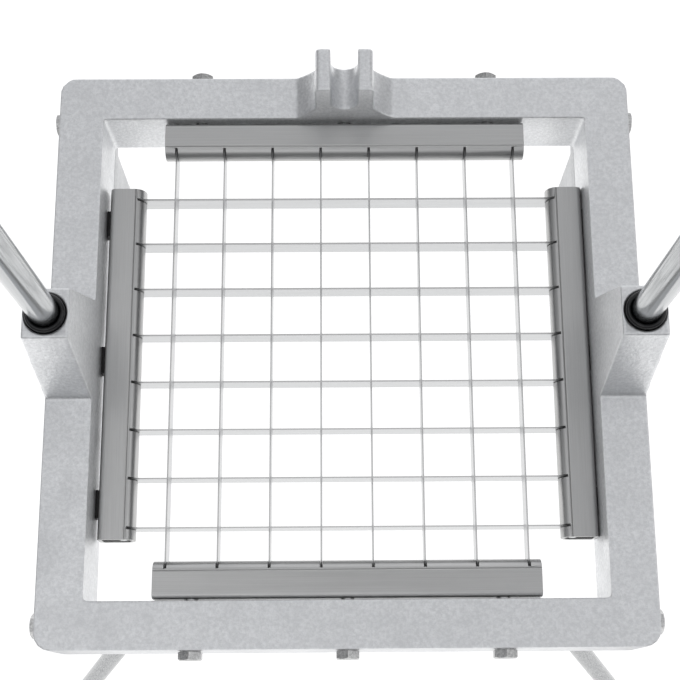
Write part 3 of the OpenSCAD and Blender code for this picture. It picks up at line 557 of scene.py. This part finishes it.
# %% [markdown]
# ## Mesh helpers
#
# A imported node is a set of loose triangles, so a copy of it is first welded into whole faces. From
# there a casting goes one way and crisp metal another. Round pieces are turned from an outline, as
# on a lathe. `settle` turns modifiers into a plain mesh, and `place_piece` gives a piece its material
# and the body it moves with, and hides the node it replaces.

# %% Mesh helpers
WELD = 0.002
FLAT_ANGLE, SHARP_ANGLE, ROUND_ANGLE = math.radians(1), math.radians(35), math.radians(60)
TURN_STEPS, EASE_STEPS = 72, 4


def built(name, work):
    """A new object from a bmesh, which isn't needed after it."""
    mesh = bpy.data.meshes.new(name)
    work.to_mesh(mesh)
    work.free()
    return linked(name, mesh)


def welded_copy(node, name):
    """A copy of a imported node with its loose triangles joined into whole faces."""
    source = frame["nodes"][node].data
    raw = bpy.data.meshes.new("raw")
    raw.from_pydata([v.co for v in source.vertices], [], [p.vertices[:] for p in source.polygons])
    work = bmesh.new()
    work.from_mesh(raw)
    bpy.data.meshes.remove(raw)
    bmesh.ops.remove_doubles(work, verts=work.verts, dist=WELD * MM)
    bmesh.ops.dissolve_limit(work, angle_limit=FLAT_ANGLE, verts=work.verts, edges=work.edges)
    return built(name, work)


def settle(piece):
    """Turns a piece's modifiers into its mesh."""
    graph = bpy.context.evaluated_depsgraph_get()
    made = bpy.data.meshes.new_from_object(piece.evaluated_get(graph))
    piece.modifiers.clear()
    old = piece.data
    piece.data = made
    bpy.data.meshes.remove(old)
    made.name = piece.name
    return piece


def shade(piece, angle=SHARP_ANGLE):
    """Smooth shading that stops at sharp edges."""
    piece.data.shade_smooth()
    piece.data.set_sharp_from_angle(angle=angle)
    return piece


def place_piece(piece, material, slot, body, *nodes):
    """Gives a piece its finish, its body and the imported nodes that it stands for."""
    piece.data.materials.clear()
    piece.data.materials.append(material)
    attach(piece, body)
    if nodes:
        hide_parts(*nodes)
    triangles = sum(len(face.vertices) - 2 for face in piece.data.polygons)
    print(f"{piece.name}: {triangles} triangles on {body}")
    return piece


def keep_node(node, material):
    """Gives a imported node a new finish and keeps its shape."""
    for holder in frame["nodes"][node].material_slots:
        holder.material = material


def evened(piece):
    """Keeps the shading of large flat faces flat beside small rounds."""
    even = piece.modifiers.new("flat_faces_stay_flat", "WEIGHTED_NORMAL")
    even.keep_sharp = True
    return settle(piece)


def crisp_copy(node, name, edge, segments=2):
    """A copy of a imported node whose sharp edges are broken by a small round, in millimetres."""
    piece = shade(welded_copy(node, name))
    bevel = piece.modifiers.new("broken_edges", "BEVEL")
    bevel.limit_method = "ANGLE"
    bevel.angle_limit = SHARP_ANGLE
    bevel.width = edge * MM
    bevel.segments = segments
    bevel.use_clamp_overlap = False
    return evened(piece)


def turned(name, outline, closed=False, steps=TURN_STEPS):
    """A solid turned about Z. Each point of the outline is a radius and a height in millimetres,
    and each may be a function of the angle. The outline starts and ends on the axis, or is closed
    and stays clear of it."""
    work = bmesh.new()
    rings = []
    for radius, height in outline:
        ring = []
        for step in range(1 if radius == 0 else steps):
            angle = 2 * math.pi * step / steps
            reach = radius(angle) if callable(radius) else radius
            level = height(angle) if callable(height) else height
            ring.append(work.verts.new(
                (reach * MM * math.cos(angle), reach * MM * math.sin(angle), level * MM)))
        rings.append(ring)
    pairs = list(zip(rings, rings[1:]))
    if closed:
        pairs.append((rings[-1], rings[0]))
    for lower, upper in pairs:
        for step in range(steps):
            ahead = (step + 1) % steps
            corners = [lower[step % len(lower)], lower[ahead % len(lower)],
                       upper[ahead % len(upper)], upper[step % len(upper)]]
            work.faces.new(list(dict.fromkeys(corners)))
    bmesh.ops.recalc_face_normals(work, faces=work.faces)
    return built(name, work)


def eased(outline, radius, steps=EASE_STEPS):
    """An outline whose inner corners are rounded by curves that start a radius before them."""
    points = [Vector(point) for point in outline]
    made = [points[0]]
    for before, corner, after in zip(points, points[1:], points[2:]):
        reach = min(radius, (corner - before).length / 2, (after - corner).length / 2)
        start = corner + (before - corner).normalized() * reach
        end = corner + (after - corner).normalized() * reach
        for step in range(steps + 1):
            t = step / steps
            made.append(start * (1 - t) ** 2 + corner * 2 * t * (1 - t) + end * t ** 2)
    made.append(points[-1])
    return [tuple(point) for point in made]


def dome(radius, middle, steps):
    """The outline of a half ball whose middle is at a height, from its side to its top."""
    angles = [math.pi / 2 * step / steps for step in range(1, steps)]
    side = [(radius * math.cos(angle), middle + radius * math.sin(angle)) for angle in angles]
    return side + [(0, middle + radius)]


def stand_at(piece, place, axis=(0, 0, 1)):
    """Moves a mesh that was made about Z to a place, and turns it to an axis."""
    turn = Vector((0, 0, 1)).rotation_difference(Vector(axis)).to_matrix().to_4x4()
    piece.data.transform(Matrix.Translation(place) @ turn)
    return piece


print("mesh helpers ready")

# %% [markdown]
# ## The castings
#
# A sand casting has no sharp edge anywhere: corners are rounded, and where two walls meet there is
# a fillet. A voxel remesh followed by a little smoothing rounds the outer corners and fills the
# inner ones at once, also where three curves meet. Decimate then drops the faces that the flats
# don't need.

# %% Castings
SMOOTHING = 0.5


def casting(node, name, voxel, rounding, share, body, finish=CAST):
    """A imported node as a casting: voxel size in millimetres, smoothing steps, share of faces kept."""
    piece = welded_copy(node, name)
    remesh = piece.modifiers.new("voxels", "REMESH")
    remesh.mode = "VOXEL"
    remesh.voxel_size = voxel * MM
    soften = piece.modifiers.new("rounding", "SMOOTH")
    soften.factor = SMOOTHING
    soften.iterations = rounding
    settle(piece)
    thin = piece.modifiers.new("fewer_faces", "DECIMATE")
    thin.ratio = share
    settle(piece)
    return place_piece(shade(piece, ROUND_ANGLE), finish, "cast_aluminium", body, node)


casting("base_frame", "frame_casting", 0.36, 4, 0.2, "frame")
for side in ("left", "right"):
    # The rear legs wear the darker copy of the casting material, which paints shade onto them.
    casting(f"{side}_rear_leg", f"{side}_rear_leg_casting", 0.6, 5, 0.3, "frame", CAST_LEG_SHADED)
casting("pusher_head", "pusher_head_casting", 0.6, 5, 0.4, "head")
casting("lever", "lever_casting", 0.5, 5, 0.4, "lever")

# %% [markdown]
# ## Blade holders and blades
#
# The holders are folded from 1 mm sheet, with slots for the blades in the round nose. The packed
# shape is right, so a copy only has its edges broken by a tenth of a millimetre, as a deburring
# wheel leaves them. The folding press also leaves a fine crease where the flat top ends and the nose
# begins. A Boolean with a thin wedge cuts it, and the slots for the blades start from it. The blades
# stay as packed, with brushed steel along their own length.

# %% Holders and blades
HOLDER_EDGE = 0.12
CREASE_WIDTH, CREASE_DEPTH, CREASE_TO_NOSE = 0.45, 0.24, 2.5


def crease_wedge(side):
    """A long wedge over the line where a holder's nose begins, with its edge below the top face."""
    low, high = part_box(f"{side}_holder")
    across = 0 if side in ("left", "right") else 1
    along = 1 - across
    nose_end = CREASE_TO_NOSE * MM
    start = high[across] - nose_end if side in ("left", "front") else low[across] + nose_end
    section = [(-CREASE_WIDTH, CREASE_DEPTH), (CREASE_WIDTH, CREASE_DEPTH), (0, -CREASE_DEPTH)]
    work, rings = bmesh.new(), []
    for end in (low[along] - MM, high[along] + MM):
        ring = []
        for shift, level in section:
            point = Vector((0, 0, high.z + level * MM))
            point[across], point[along] = start + shift * MM, end
            ring.append(work.verts.new(point))
        work.faces.new(ring)
        rings.append(ring)
    for first, second in ((0, 1), (1, 2), (2, 0)):
        work.faces.new([rings[0][first], rings[0][second], rings[1][second], rings[1][first]])
    bmesh.ops.recalc_face_normals(work, faces=work.faces)
    return built("crease_wedge", work)


def creased(sheet, side):
    """Cuts the crease into a holder."""
    wedge = crease_wedge(side)
    cut = sheet.modifiers.new("crease", "BOOLEAN")
    cut.operation = "DIFFERENCE"
    cut.object = wedge
    settle(sheet)
    bpy.data.objects.remove(wedge)
    return evened(shade(sheet))


for side, finish in (("front", HOLDER_X), ("rear", HOLDER_X), ("left", HOLDER_Y), ("right", HOLDER_Y)):
    sheet = creased(crisp_copy(f"{side}_holder", f"{side}_holder_sheet", HOLDER_EDGE), side)
    place_piece(sheet, finish, "holder_steel", "frame", f"{side}_holder")
    keep_node(f"{side}_retaining_rod", BRIGHT)
for side in ("left", "right"):
    # The keys get the near black steel, which paints the gaps' shadow onto them.
    keep_node(f"{side}_holder_keys", KEY_SHADE_STEEL)
for node in frame["nodes"]:
    if "_blade_" in node:
        keep_node(node, BLADE_Y if node.startswith("long") else BLADE_X)
for end in ("front", "rear"):
    keep_node(f"{end}_nut_bar", PLAIN)
print("holders, keys, retaining rods, blades and nut bars are dressed")

# %% [markdown]
# ## Bolts and screws with Geometry Nodes
#
# Ten hex bolts and four socket screws repeat two shapes. Each head is turned once, with a radius
# that follows a hexagon. A Geometry Nodes tree then puts a head on every point, turns it to face out
# of its wall and adds a shank of its own length. It ends in Realize Instances, because an exported
# mesh has to hold real faces.

# %% Where the fasteners sit


def islands(node):
    """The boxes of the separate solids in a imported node, as lowest and highest corners."""
    work = bmesh.new()
    work.from_mesh(frame["nodes"][node].data)
    bmesh.ops.remove_doubles(work, verts=work.verts, dist=WELD * MM)
    left, boxes = set(work.verts), []
    while left:
        waiting, found = [left.pop()], []
        while waiting:
            vertex = waiting.pop()
            found.append(vertex.co.copy())
            near = {edge.other_vert(vertex) for edge in vertex.link_edges} & left
            left -= near
            waiting.extend(near)
        boxes.append((Vector(map(min, *found)), Vector(map(max, *found))))
    work.free()
    return sorted(boxes, key=lambda pair: tuple(pair[0]))


def seats(node, axis, height):
    """For each bolt of a node: the middle of its head's seat, the way it faces and its reach.
    Axis is 0 for bolts along X, 1 along Y and 2 along Z, and the head is on the outer side."""
    made = []
    for low, high in islands(node):
        middle = (low + high) / 2
        outward = 1 if axis == 2 or middle[axis] > top_middle[axis] else -1
        facing = Vector((0, 0, 0))
        facing[axis] = outward
        seat = middle.copy()
        seat[axis] = (high if outward > 0 else low)[axis] - outward * height * MM
        made.append((seat, facing, (high - low)[axis] - height * MM))
    return made


for node in ("front_tension_bolts", "rear_tension_bolts", "leg_clamp_bolts", "block_screws"):
    print(node, "holds", len(islands(node)))

# %% Geometry Nodes tree for fasteners
SHANK_SIDES = 32
GEOMETRY = {"Geometry": "Geometry"}


def give_out(tree, shape, given, result):
    """Ends a tree with real faces that wear its finish."""
    real = add(tree, "GeometryNodeRealizeInstances", {"Geometry": shape}).outputs[0]
    done = add(tree, "GeometryNodeSetMaterial", {"Geometry": real, "Material": given.outputs["Finish"]})
    tree.links.new(done.outputs[0], result.inputs["Geometry"])
    return tree


def build_fastener_tree():
    """Puts a head and a shank on every point, turned to the point's own facing."""
    tree, given, result = new_group(
        "fasteners", {**GEOMETRY, "Head": "Object", "Shank": "Float", "Finish": "Material"},
        GEOMETRY, "GeometryNodeTree")
    points = add(tree, "GeometryNodeMeshToPoints", {"Mesh": given.outputs["Geometry"]}).outputs[0]
    facing = add(tree, "GeometryNodeInputNamedAttribute", {"Name": "facing"},
                 data_type="FLOAT_VECTOR").outputs["Attribute"]
    reach = add(tree, "GeometryNodeInputNamedAttribute", {"Name": "reach"},
                data_type="FLOAT").outputs["Attribute"]
    turn = add(tree, "FunctionNodeAlignRotationToVector", {"Vector": facing}, axis="Z").outputs[0]
    head = add(tree, "GeometryNodeObjectInfo", {"Object": given.outputs["Head"]}).outputs["Geometry"]
    heads = add(tree, "GeometryNodeInstanceOnPoints",
                {"Points": points, "Instance": head, "Rotation": turn}).outputs[0]
    radius = maths(tree, "DIVIDE", given.outputs["Shank"], 2.0)
    rod = add(tree, "GeometryNodeMeshCylinder",
              {"Vertices": SHANK_SIDES, "Radius": radius, "Depth": 1.0}).outputs[0]
    sunk = add(tree, "GeometryNodeTransform", {"Geometry": rod, "Translation": (0, 0, -0.5)}).outputs[0]
    length = add(tree, "ShaderNodeCombineXYZ", {"X": 1.0, "Y": 1.0, "Z": reach}).outputs[0]
    shanks = add(tree, "GeometryNodeInstanceOnPoints",
                 {"Points": points, "Instance": sunk, "Rotation": turn, "Scale": length}).outputs[0]
    both = tree.nodes.new("GeometryNodeJoinGeometry")
    tree.links.new(heads, both.inputs[0])
    tree.links.new(shanks, both.inputs[0])
    return give_out(tree, both.outputs[0], given, result)


def run_tree(piece, tree, **inputs):
    """Runs a Geometry Nodes tree on a piece, with inputs by their names, and keeps the plain mesh."""
    modifier = piece.modifiers.new(tree.name, "NODES")
    modifier.node_group = tree
    for item in tree.interface.items_tree:
        if item.in_out == "INPUT" and item.name in inputs:
            modifier[item.identifier] = inputs[item.name]
    return settle(piece)


fasteners = build_fastener_tree()
print("tree", fasteners.name)

# %% Hex bolts
BOLT_WIDTH, BOLT_HEAD, BOLT_SHANK, HEAD_STEPS = 5.5, 2.3, 3.2, 48
WASHER_SHARE, WASHER_HEIGHT, CORNER_HEIGHT = 0.46, 0.15, 0.25
TOP_SHARE, CHAMFER_SLOPE = 0.47, math.tan(math.radians(30))


def hexagon(across):
    """The radius of a hexagon of a width across its flats, for each angle."""
    return lambda angle: across / 2 / math.cos((angle + math.pi / 6) % (math.pi / 3) - math.pi / 6)


def hex_head(across, height):
    """A hex head with a chamfered top and a small washer face, standing on its seat at zero."""
    flat, washer, corner = across * TOP_SHARE, across * WASHER_SHARE, hexagon(across)
    outline = [
        (0, 0), (washer, 0), (washer, WASHER_HEIGHT), (corner, CORNER_HEIGHT),
        (corner, lambda angle: height - (corner(angle) - flat) * CHAMFER_SLOPE),
        (flat, height), (0, height)]
    return turned("hex_head", outline, steps=HEAD_STEPS)


def set_fasteners(name, node, head, shank, axis, height, body):
    """Fasteners on a node's own places, as one piece that replaces the node."""
    places = seats(node, axis, height)
    mesh = bpy.data.meshes.new(name)
    mesh.from_pydata([seat for seat, _, _ in places], [], [])
    # Each attribute is filled before the next is made, because making one moves the others
    facing = mesh.attributes.new("facing", "FLOAT_VECTOR", "POINT")
    facing.data.foreach_set("vector", [value for _, way, _ in places for value in way])
    reach = mesh.attributes.new("reach", "FLOAT", "POINT")
    reach.data.foreach_set("value", [length for _, _, length in places])
    piece = linked(name, mesh)
    run_tree(piece, fasteners, Head=head, Shank=shank * MM, Finish=BOLT)
    for spare in ("facing", "reach"):
        if spare in piece.data.attributes:
            piece.data.attributes.remove(piece.data.attributes[spare])
    return place_piece(shade(piece), BOLT, "bolt_steel", body, node)


bolt_head = hex_head(BOLT_WIDTH, BOLT_HEAD)
for name, node, axis in (("front_hex_bolts", "front_tension_bolts", 1),
                         ("rear_hex_bolts", "rear_tension_bolts", 1),
                         ("leg_hex_bolts", "leg_clamp_bolts", 0)):
    set_fasteners(name, node, bolt_head, BOLT_SHANK, axis, BOLT_HEAD, "frame")

# %% Socket screws of the pusher block
SCREW_HEAD, SCREW_HEIGHT, SCREW_SHANK, SOCKET = 8.0, 3.0, 4.0, 4.0


def button_head():
    """A round screw head with a hexagon socket."""
    rim, mouth = SCREW_HEAD / 2, hexagon(SOCKET)
    outline = [
        (0, 0), (rim - 0.2, 0), (rim, 0.2), (rim, SCREW_HEIGHT - 1.0),
        (rim - 0.15, SCREW_HEIGHT - 0.55), (rim - 0.5, SCREW_HEIGHT - 0.15),
        (rim - 1.0, SCREW_HEIGHT), (mouth, SCREW_HEIGHT),
        (mouth, SCREW_HEIGHT / 2), (0, SCREW_HEIGHT / 2 - 0.4)]
    return turned("button_head", outline, steps=HEAD_STEPS)


screw_head = button_head()
set_fasteners("pusher_block_screws", "block_screws", screw_head, SCREW_SHANK, 2, SCREW_HEIGHT, "head")
for spare in (bolt_head, screw_head):
    bpy.data.objects.remove(spare)

# %% [markdown]
# ## Turned pieces
#
# Rods, caps, rings and pins all come off a lathe, so each is one outline of radius and height. Each
# small chamfer or round catches a thin line of light that tells the eye the piece is metal.

# %% Guide rods, caps and rings
ROD_D, SPIGOT_D, SHOULDER = 7.0, 5.0, 8.0
RING_D, RING_HEIGHT = 9.6, 3.0
CAP_D, CAP_HEIGHT, CAP_BORE, CAP_STEPS = 12.0, 13.0, 8.0, 14
FIT, ROD_EASE = 0.03, 0.15
RING_ANGLE = math.radians(50)


def guide_rod(side):
    """A rod with a chamfered top and a narrower spigot below its shoulder."""
    low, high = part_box(f"{side}_guide_rod")
    base = Vector(((low.x + high.x) / 2, frame_y, low.z))
    length = (high.z - low.z) / MM
    step = (top_z - low.z) / MM - SHOULDER
    rod, spigot = ROD_D / 2, SPIGOT_D / 2
    outline = eased([(0, 0), (spigot - 0.4, 0), (spigot, 0.4), (spigot, step), (rod - 0.2, step),
                     (rod, step + 0.3), (rod, length - 0.6), (rod - 0.6, length), (0, length)],
                    ROD_EASE)
    piece = shade(turned(f"{side}_polished_rod", outline))
    place_piece(stand_at(piece, base), BRIGHT, "bright_steel", "frame", f"{side}_guide_rod")


def bumper_ring(side):
    """A rubber ring with a round top, seated in its tower."""
    low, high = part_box(f"{side}_bumper_ring")
    base = Vector(((low.x + high.x) / 2, frame_y, low.z))
    inner, outer = ROD_D / 2 + FIT, RING_D / 2
    outline = [(inner, 0), (outer, 0), (outer, RING_HEIGHT - 0.7), (outer - 0.12, RING_HEIGHT - 0.32),
               (outer - 0.4, RING_HEIGHT - 0.06), ((inner + outer) / 2, RING_HEIGHT),
               (inner + 0.35, RING_HEIGHT - 0.1), (inner + 0.05, RING_HEIGHT - 0.4)]
    piece = shade(turned(f"{side}_rubber_ring", outline, closed=True), RING_ANGLE)
    place_piece(stand_at(piece, base), RING_RUBBER, "black_rubber", "frame", f"{side}_bumper_ring")


def rod_caps():
    """Both domed caps as one piece, with the bore that the rod's end sits in."""
    rim, bore = CAP_D / 2, ROD_D / 2 + FIT
    outline = [(0, CAP_BORE), (bore, CAP_BORE), (bore, 0.3), (bore + 0.3, 0), (rim - 0.4, 0),
               (rim, 0.4), (rim, CAP_HEIGHT - rim), *dome(rim, CAP_HEIGHT - rim, CAP_STEPS)]
    whole = bmesh.new()
    for low, high in islands("guide_rod_caps"):
        single = turned("cap", outline)
        stand_at(single, Vector(((low.x + high.x) / 2, (low.y + high.y) / 2, low.z)))
        whole.from_mesh(single.data)
        bpy.data.objects.remove(single)
    piece = built("rod_stop_caps", whole)
    place_piece(shade(piece), BRIGHT, "bright_steel", "frame", "guide_rod_caps")


for side in ("left", "right"):
    guide_rod(side)
    bumper_ring(side)
rod_caps()

# %% Hinge pin and link pin
PIN_RIM, PIN_WASHER, PIN_EASE = 2.5, 2.0, 0.2
HINGE_D, HINGE_SPAN = 8.0, 12.6
LINK_D, LINK_SPAN = 6.0, 7.3


def headed_pin(node, name, diameter, span, place, body):
    """A pin along X: a round head on the right, and a washer and a peened end on the left."""
    shaft, rim, washer = diameter / 2, diameter / 2 + PIN_RIM, -span - PIN_WASHER
    left, right = (corner.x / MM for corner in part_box(node))
    outline = eased([(0, left), (shaft - 0.8, left), (shaft, left + 0.8), (shaft, washer),
                     (rim - 0.3, washer), (rim, washer + 0.3), (rim, -span - 0.3), (rim - 0.3, -span),
                     (shaft, -span), (shaft, span), (rim - 0.3, span), (rim, span + 0.3),
                     (rim, right - 0.7), (rim - 0.9, right), (0, right)], PIN_EASE)
    piece = shade(turned(name, outline))
    stand_at(piece, place, (1, 0, 0))
    place_piece(piece, BRIGHT, "bright_steel", body, node)


headed_pin("hinge_pin", "head_hinge_pin", HINGE_D, HINGE_SPAN, hinge, "head")
headed_pin("link_pin", "lever_link_pin", LINK_D, LINK_SPAN, arm_tip, "lever")

# %% [markdown]
# ## Handle and grip
#
# The handle is a plain bright rod, and the grip is a moulded rubber sleeve that swells towards its
# end. Its ribs are rings that repeat at one spacing, which is a job for Geometry Nodes: a line of
# points along the axis carries one ring each, and the ring's size follows the sleeve's taper.

# %% Handle rod and grip
HANDLE_D, HANDLE_CHAMFER, HANDLE_EASE = 12.0, 0.6, 0.3
NECK_D, NECK_DIP, GRIP_D = 24.0, 0.6, 28.0
SWELL_FROM, SWELL_STEPS, GRIP_DOME_STEPS = 9, 12, 16


def along_handle(node):
    """The distances from the hinge to a node's two ends, measured along the handle."""
    reach = [(v.co - hinge).dot(handle_axis) / MM for v in frame["nodes"][node].data.vertices]
    return min(reach), max(reach)


rod_start, rod_end = along_handle("handle_rod")
grip_start, grip_end = along_handle("grip")


def handle():
    """The rod that carries the grip."""
    radius, narrow = HANDLE_D / 2, HANDLE_D / 2 - HANDLE_CHAMFER
    outline = eased([(0, rod_start), (narrow, rod_start), (radius, rod_start + HANDLE_CHAMFER),
                     (radius, rod_end - HANDLE_CHAMFER), (narrow, rod_end), (0, rod_end)], HANDLE_EASE)
    piece = shade(turned("handle_bar", outline))
    place_piece(stand_at(piece, hinge, handle_axis), BRIGHT, "bright_steel", "lever", "handle_rod")


def grip_sleeve():
    """The sleeve: a neck with a lip, a slow swell and a domed end."""
    neck, end, bore = NECK_D / 2, GRIP_D / 2, HANDLE_D / 2 + FIT
    start, swell_end = grip_start, grip_end - GRIP_D / 2
    outline = [(0, rod_end + FIT), (bore, rod_end + FIT), (bore, start + 0.6), (bore + 0.6, start),
               (neck - 3.2, start), (neck - 1.4, start + 0.5), (neck - 0.4, start + 1.6),
               (neck, start + 3.4), (neck, start + 5), (neck - 0.7, start + 7),
               (neck - NECK_DIP, start + SWELL_FROM)]
    for step in range(1, SWELL_STEPS + 1):
        t = step / SWELL_STEPS
        outline.append((neck - NECK_DIP + (end - neck + NECK_DIP) * (1 - math.cos(math.pi * t)) / 2,
                        start + SWELL_FROM + (swell_end - start - SWELL_FROM) * t))
    outline += dome(end, swell_end, GRIP_DOME_STEPS)
    piece = shade(turned("grip_sleeve", outline), ROUND_ANGLE)
    place_piece(stand_at(piece, hinge, handle_axis), GRIP_RUBBER, "grip_rubber", "lever", "grip")


handle()
grip_sleeve()

# %% Grip ribs
RIB_COUNT, RIB_SPACING, RIB_WIDTH, RIB_FIRST = 15, 5.2, 1.5, 16.0
RIB_SUNK, END_DIP, RIB_ANGLE = 0.65, 0.55, math.radians(80)
RING_STEPS, RIB_STEPS = 72, 10


def build_rib_tree():
    """Rings on a line of points along Z. A ring's scale grows from 1 to Growth along the line."""
    sizes = dict.fromkeys(("Spacing", "First", "Ring", "Rib", "Growth"), "Float")
    tree, given, result = new_group(
        "grip_ribs", {**GEOMETRY, "Count": "Int", **sizes, "Finish": "Material"},
        GEOMETRY, "GeometryNodeTree")
    start = add(tree, "ShaderNodeCombineXYZ", {"Z": given.outputs["First"]}).outputs[0]
    step = add(tree, "ShaderNodeCombineXYZ", {"Z": given.outputs["Spacing"]}).outputs[0]
    line = add(tree, "GeometryNodeMeshLine", mode="OFFSET", inputs={
        "Count": given.outputs["Count"], "Start Location": start, "Offset": step}).outputs[0]
    circle = add(tree, "GeometryNodeCurvePrimitiveCircle",
                 {"Resolution": RING_STEPS, "Radius": given.outputs["Ring"]}).outputs[0]
    section = add(tree, "GeometryNodeCurvePrimitiveCircle",
                  {"Resolution": RIB_STEPS, "Radius": given.outputs["Rib"]}).outputs[0]
    ring = add(tree, "GeometryNodeCurveToMesh", {"Curve": circle, "Profile Curve": section}).outputs[0]
    index = add(tree, "GeometryNodeInputIndex").outputs[0]
    last = maths(tree, "SUBTRACT", given.outputs["Count"], 1.0)
    along = maths(tree, "DIVIDE", index, last)
    size = remapped(tree, along, WHOLE, (1.0, given.outputs["Growth"]), **SMOOTH)
    scale = add(tree, "ShaderNodeCombineXYZ", {"X": size, "Y": size, "Z": 1.0}).outputs[0]
    rings = add(tree, "GeometryNodeInstanceOnPoints",
                {"Points": line, "Instance": ring, "Scale": scale}).outputs[0]
    return give_out(tree, rings, given, result)


def grip_ribs():
    """The ribs, seated a little into the sleeve."""
    piece = linked("grip_ribs", bpy.data.meshes.new("grip_ribs"))
    neck, end = NECK_D / 2 - NECK_DIP, GRIP_D / 2 - END_DIP
    first_radius, last_radius = (radius + RIB_WIDTH / 2 - RIB_SUNK for radius in (neck, end))
    run_tree(piece, build_rib_tree(), Count=RIB_COUNT, Spacing=RIB_SPACING * MM,
             First=(grip_start + RIB_FIRST) * MM, Ring=first_radius * MM, Rib=RIB_WIDTH / 2 * MM,
             Growth=last_radius / first_radius, Finish=GRIP_RUBBER)
    stand_at(piece, hinge, handle_axis)
    place_piece(shade(piece, RIB_ANGLE), GRIP_RUBBER, "grip_rubber", "lever")


grip_ribs()

# %% [markdown]
# ## The rest
#
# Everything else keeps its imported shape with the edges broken: the front legs, the feet, the nuts,
# the bushes, the pusher block, the link and the release pin. Small plain pieces that hardly show
# keep their node and only get a finish.

# %% Remaining pieces
EDGE_STEPS = 3
crisp = [
    # The front legs take the darker bright steel, which paints shade onto them.
    ("left_front_leg", "left_front_leg_bar", 0.3, LEG_BAR_SHADED, "bright_steel", "frame"),
    ("right_front_leg", "right_front_leg_bar", 0.3, LEG_BAR_SHADED, "bright_steel", "frame"),
    ("front_foot_pads", "front_rubber_feet", 0.9, RUBBER, "black_rubber", "frame"),
    ("rear_foot_pads", "rear_rubber_shoes", 0.7, RUBBER, "black_rubber", "frame"),
    ("guide_rod_nuts", "rod_hex_nuts", 0.25, BOLT, "bolt_steel", "frame"),
    ("head_bushes", "rod_bushes", 0.2, BRONZE, "bronze", "head"),
    ("pusher_block", "pusher_finger_block", 0.3, MILLED, "machined_aluminium", "head"),
    ("link", "link_bar", 0.4, PLAIN, "plain_steel", "link"),
    ("release_pin", "release_pin_bar", 0.25, BRIGHT, "bright_steel", "release_pin"),
]
for node, name, edge, finish, slot, body in crisp:
    place_piece(crisp_copy(node, name, edge, EDGE_STEPS), finish, slot, body, node)
for node in ("handle_pin", "release_ring"):
    keep_node(node, BRIGHT)
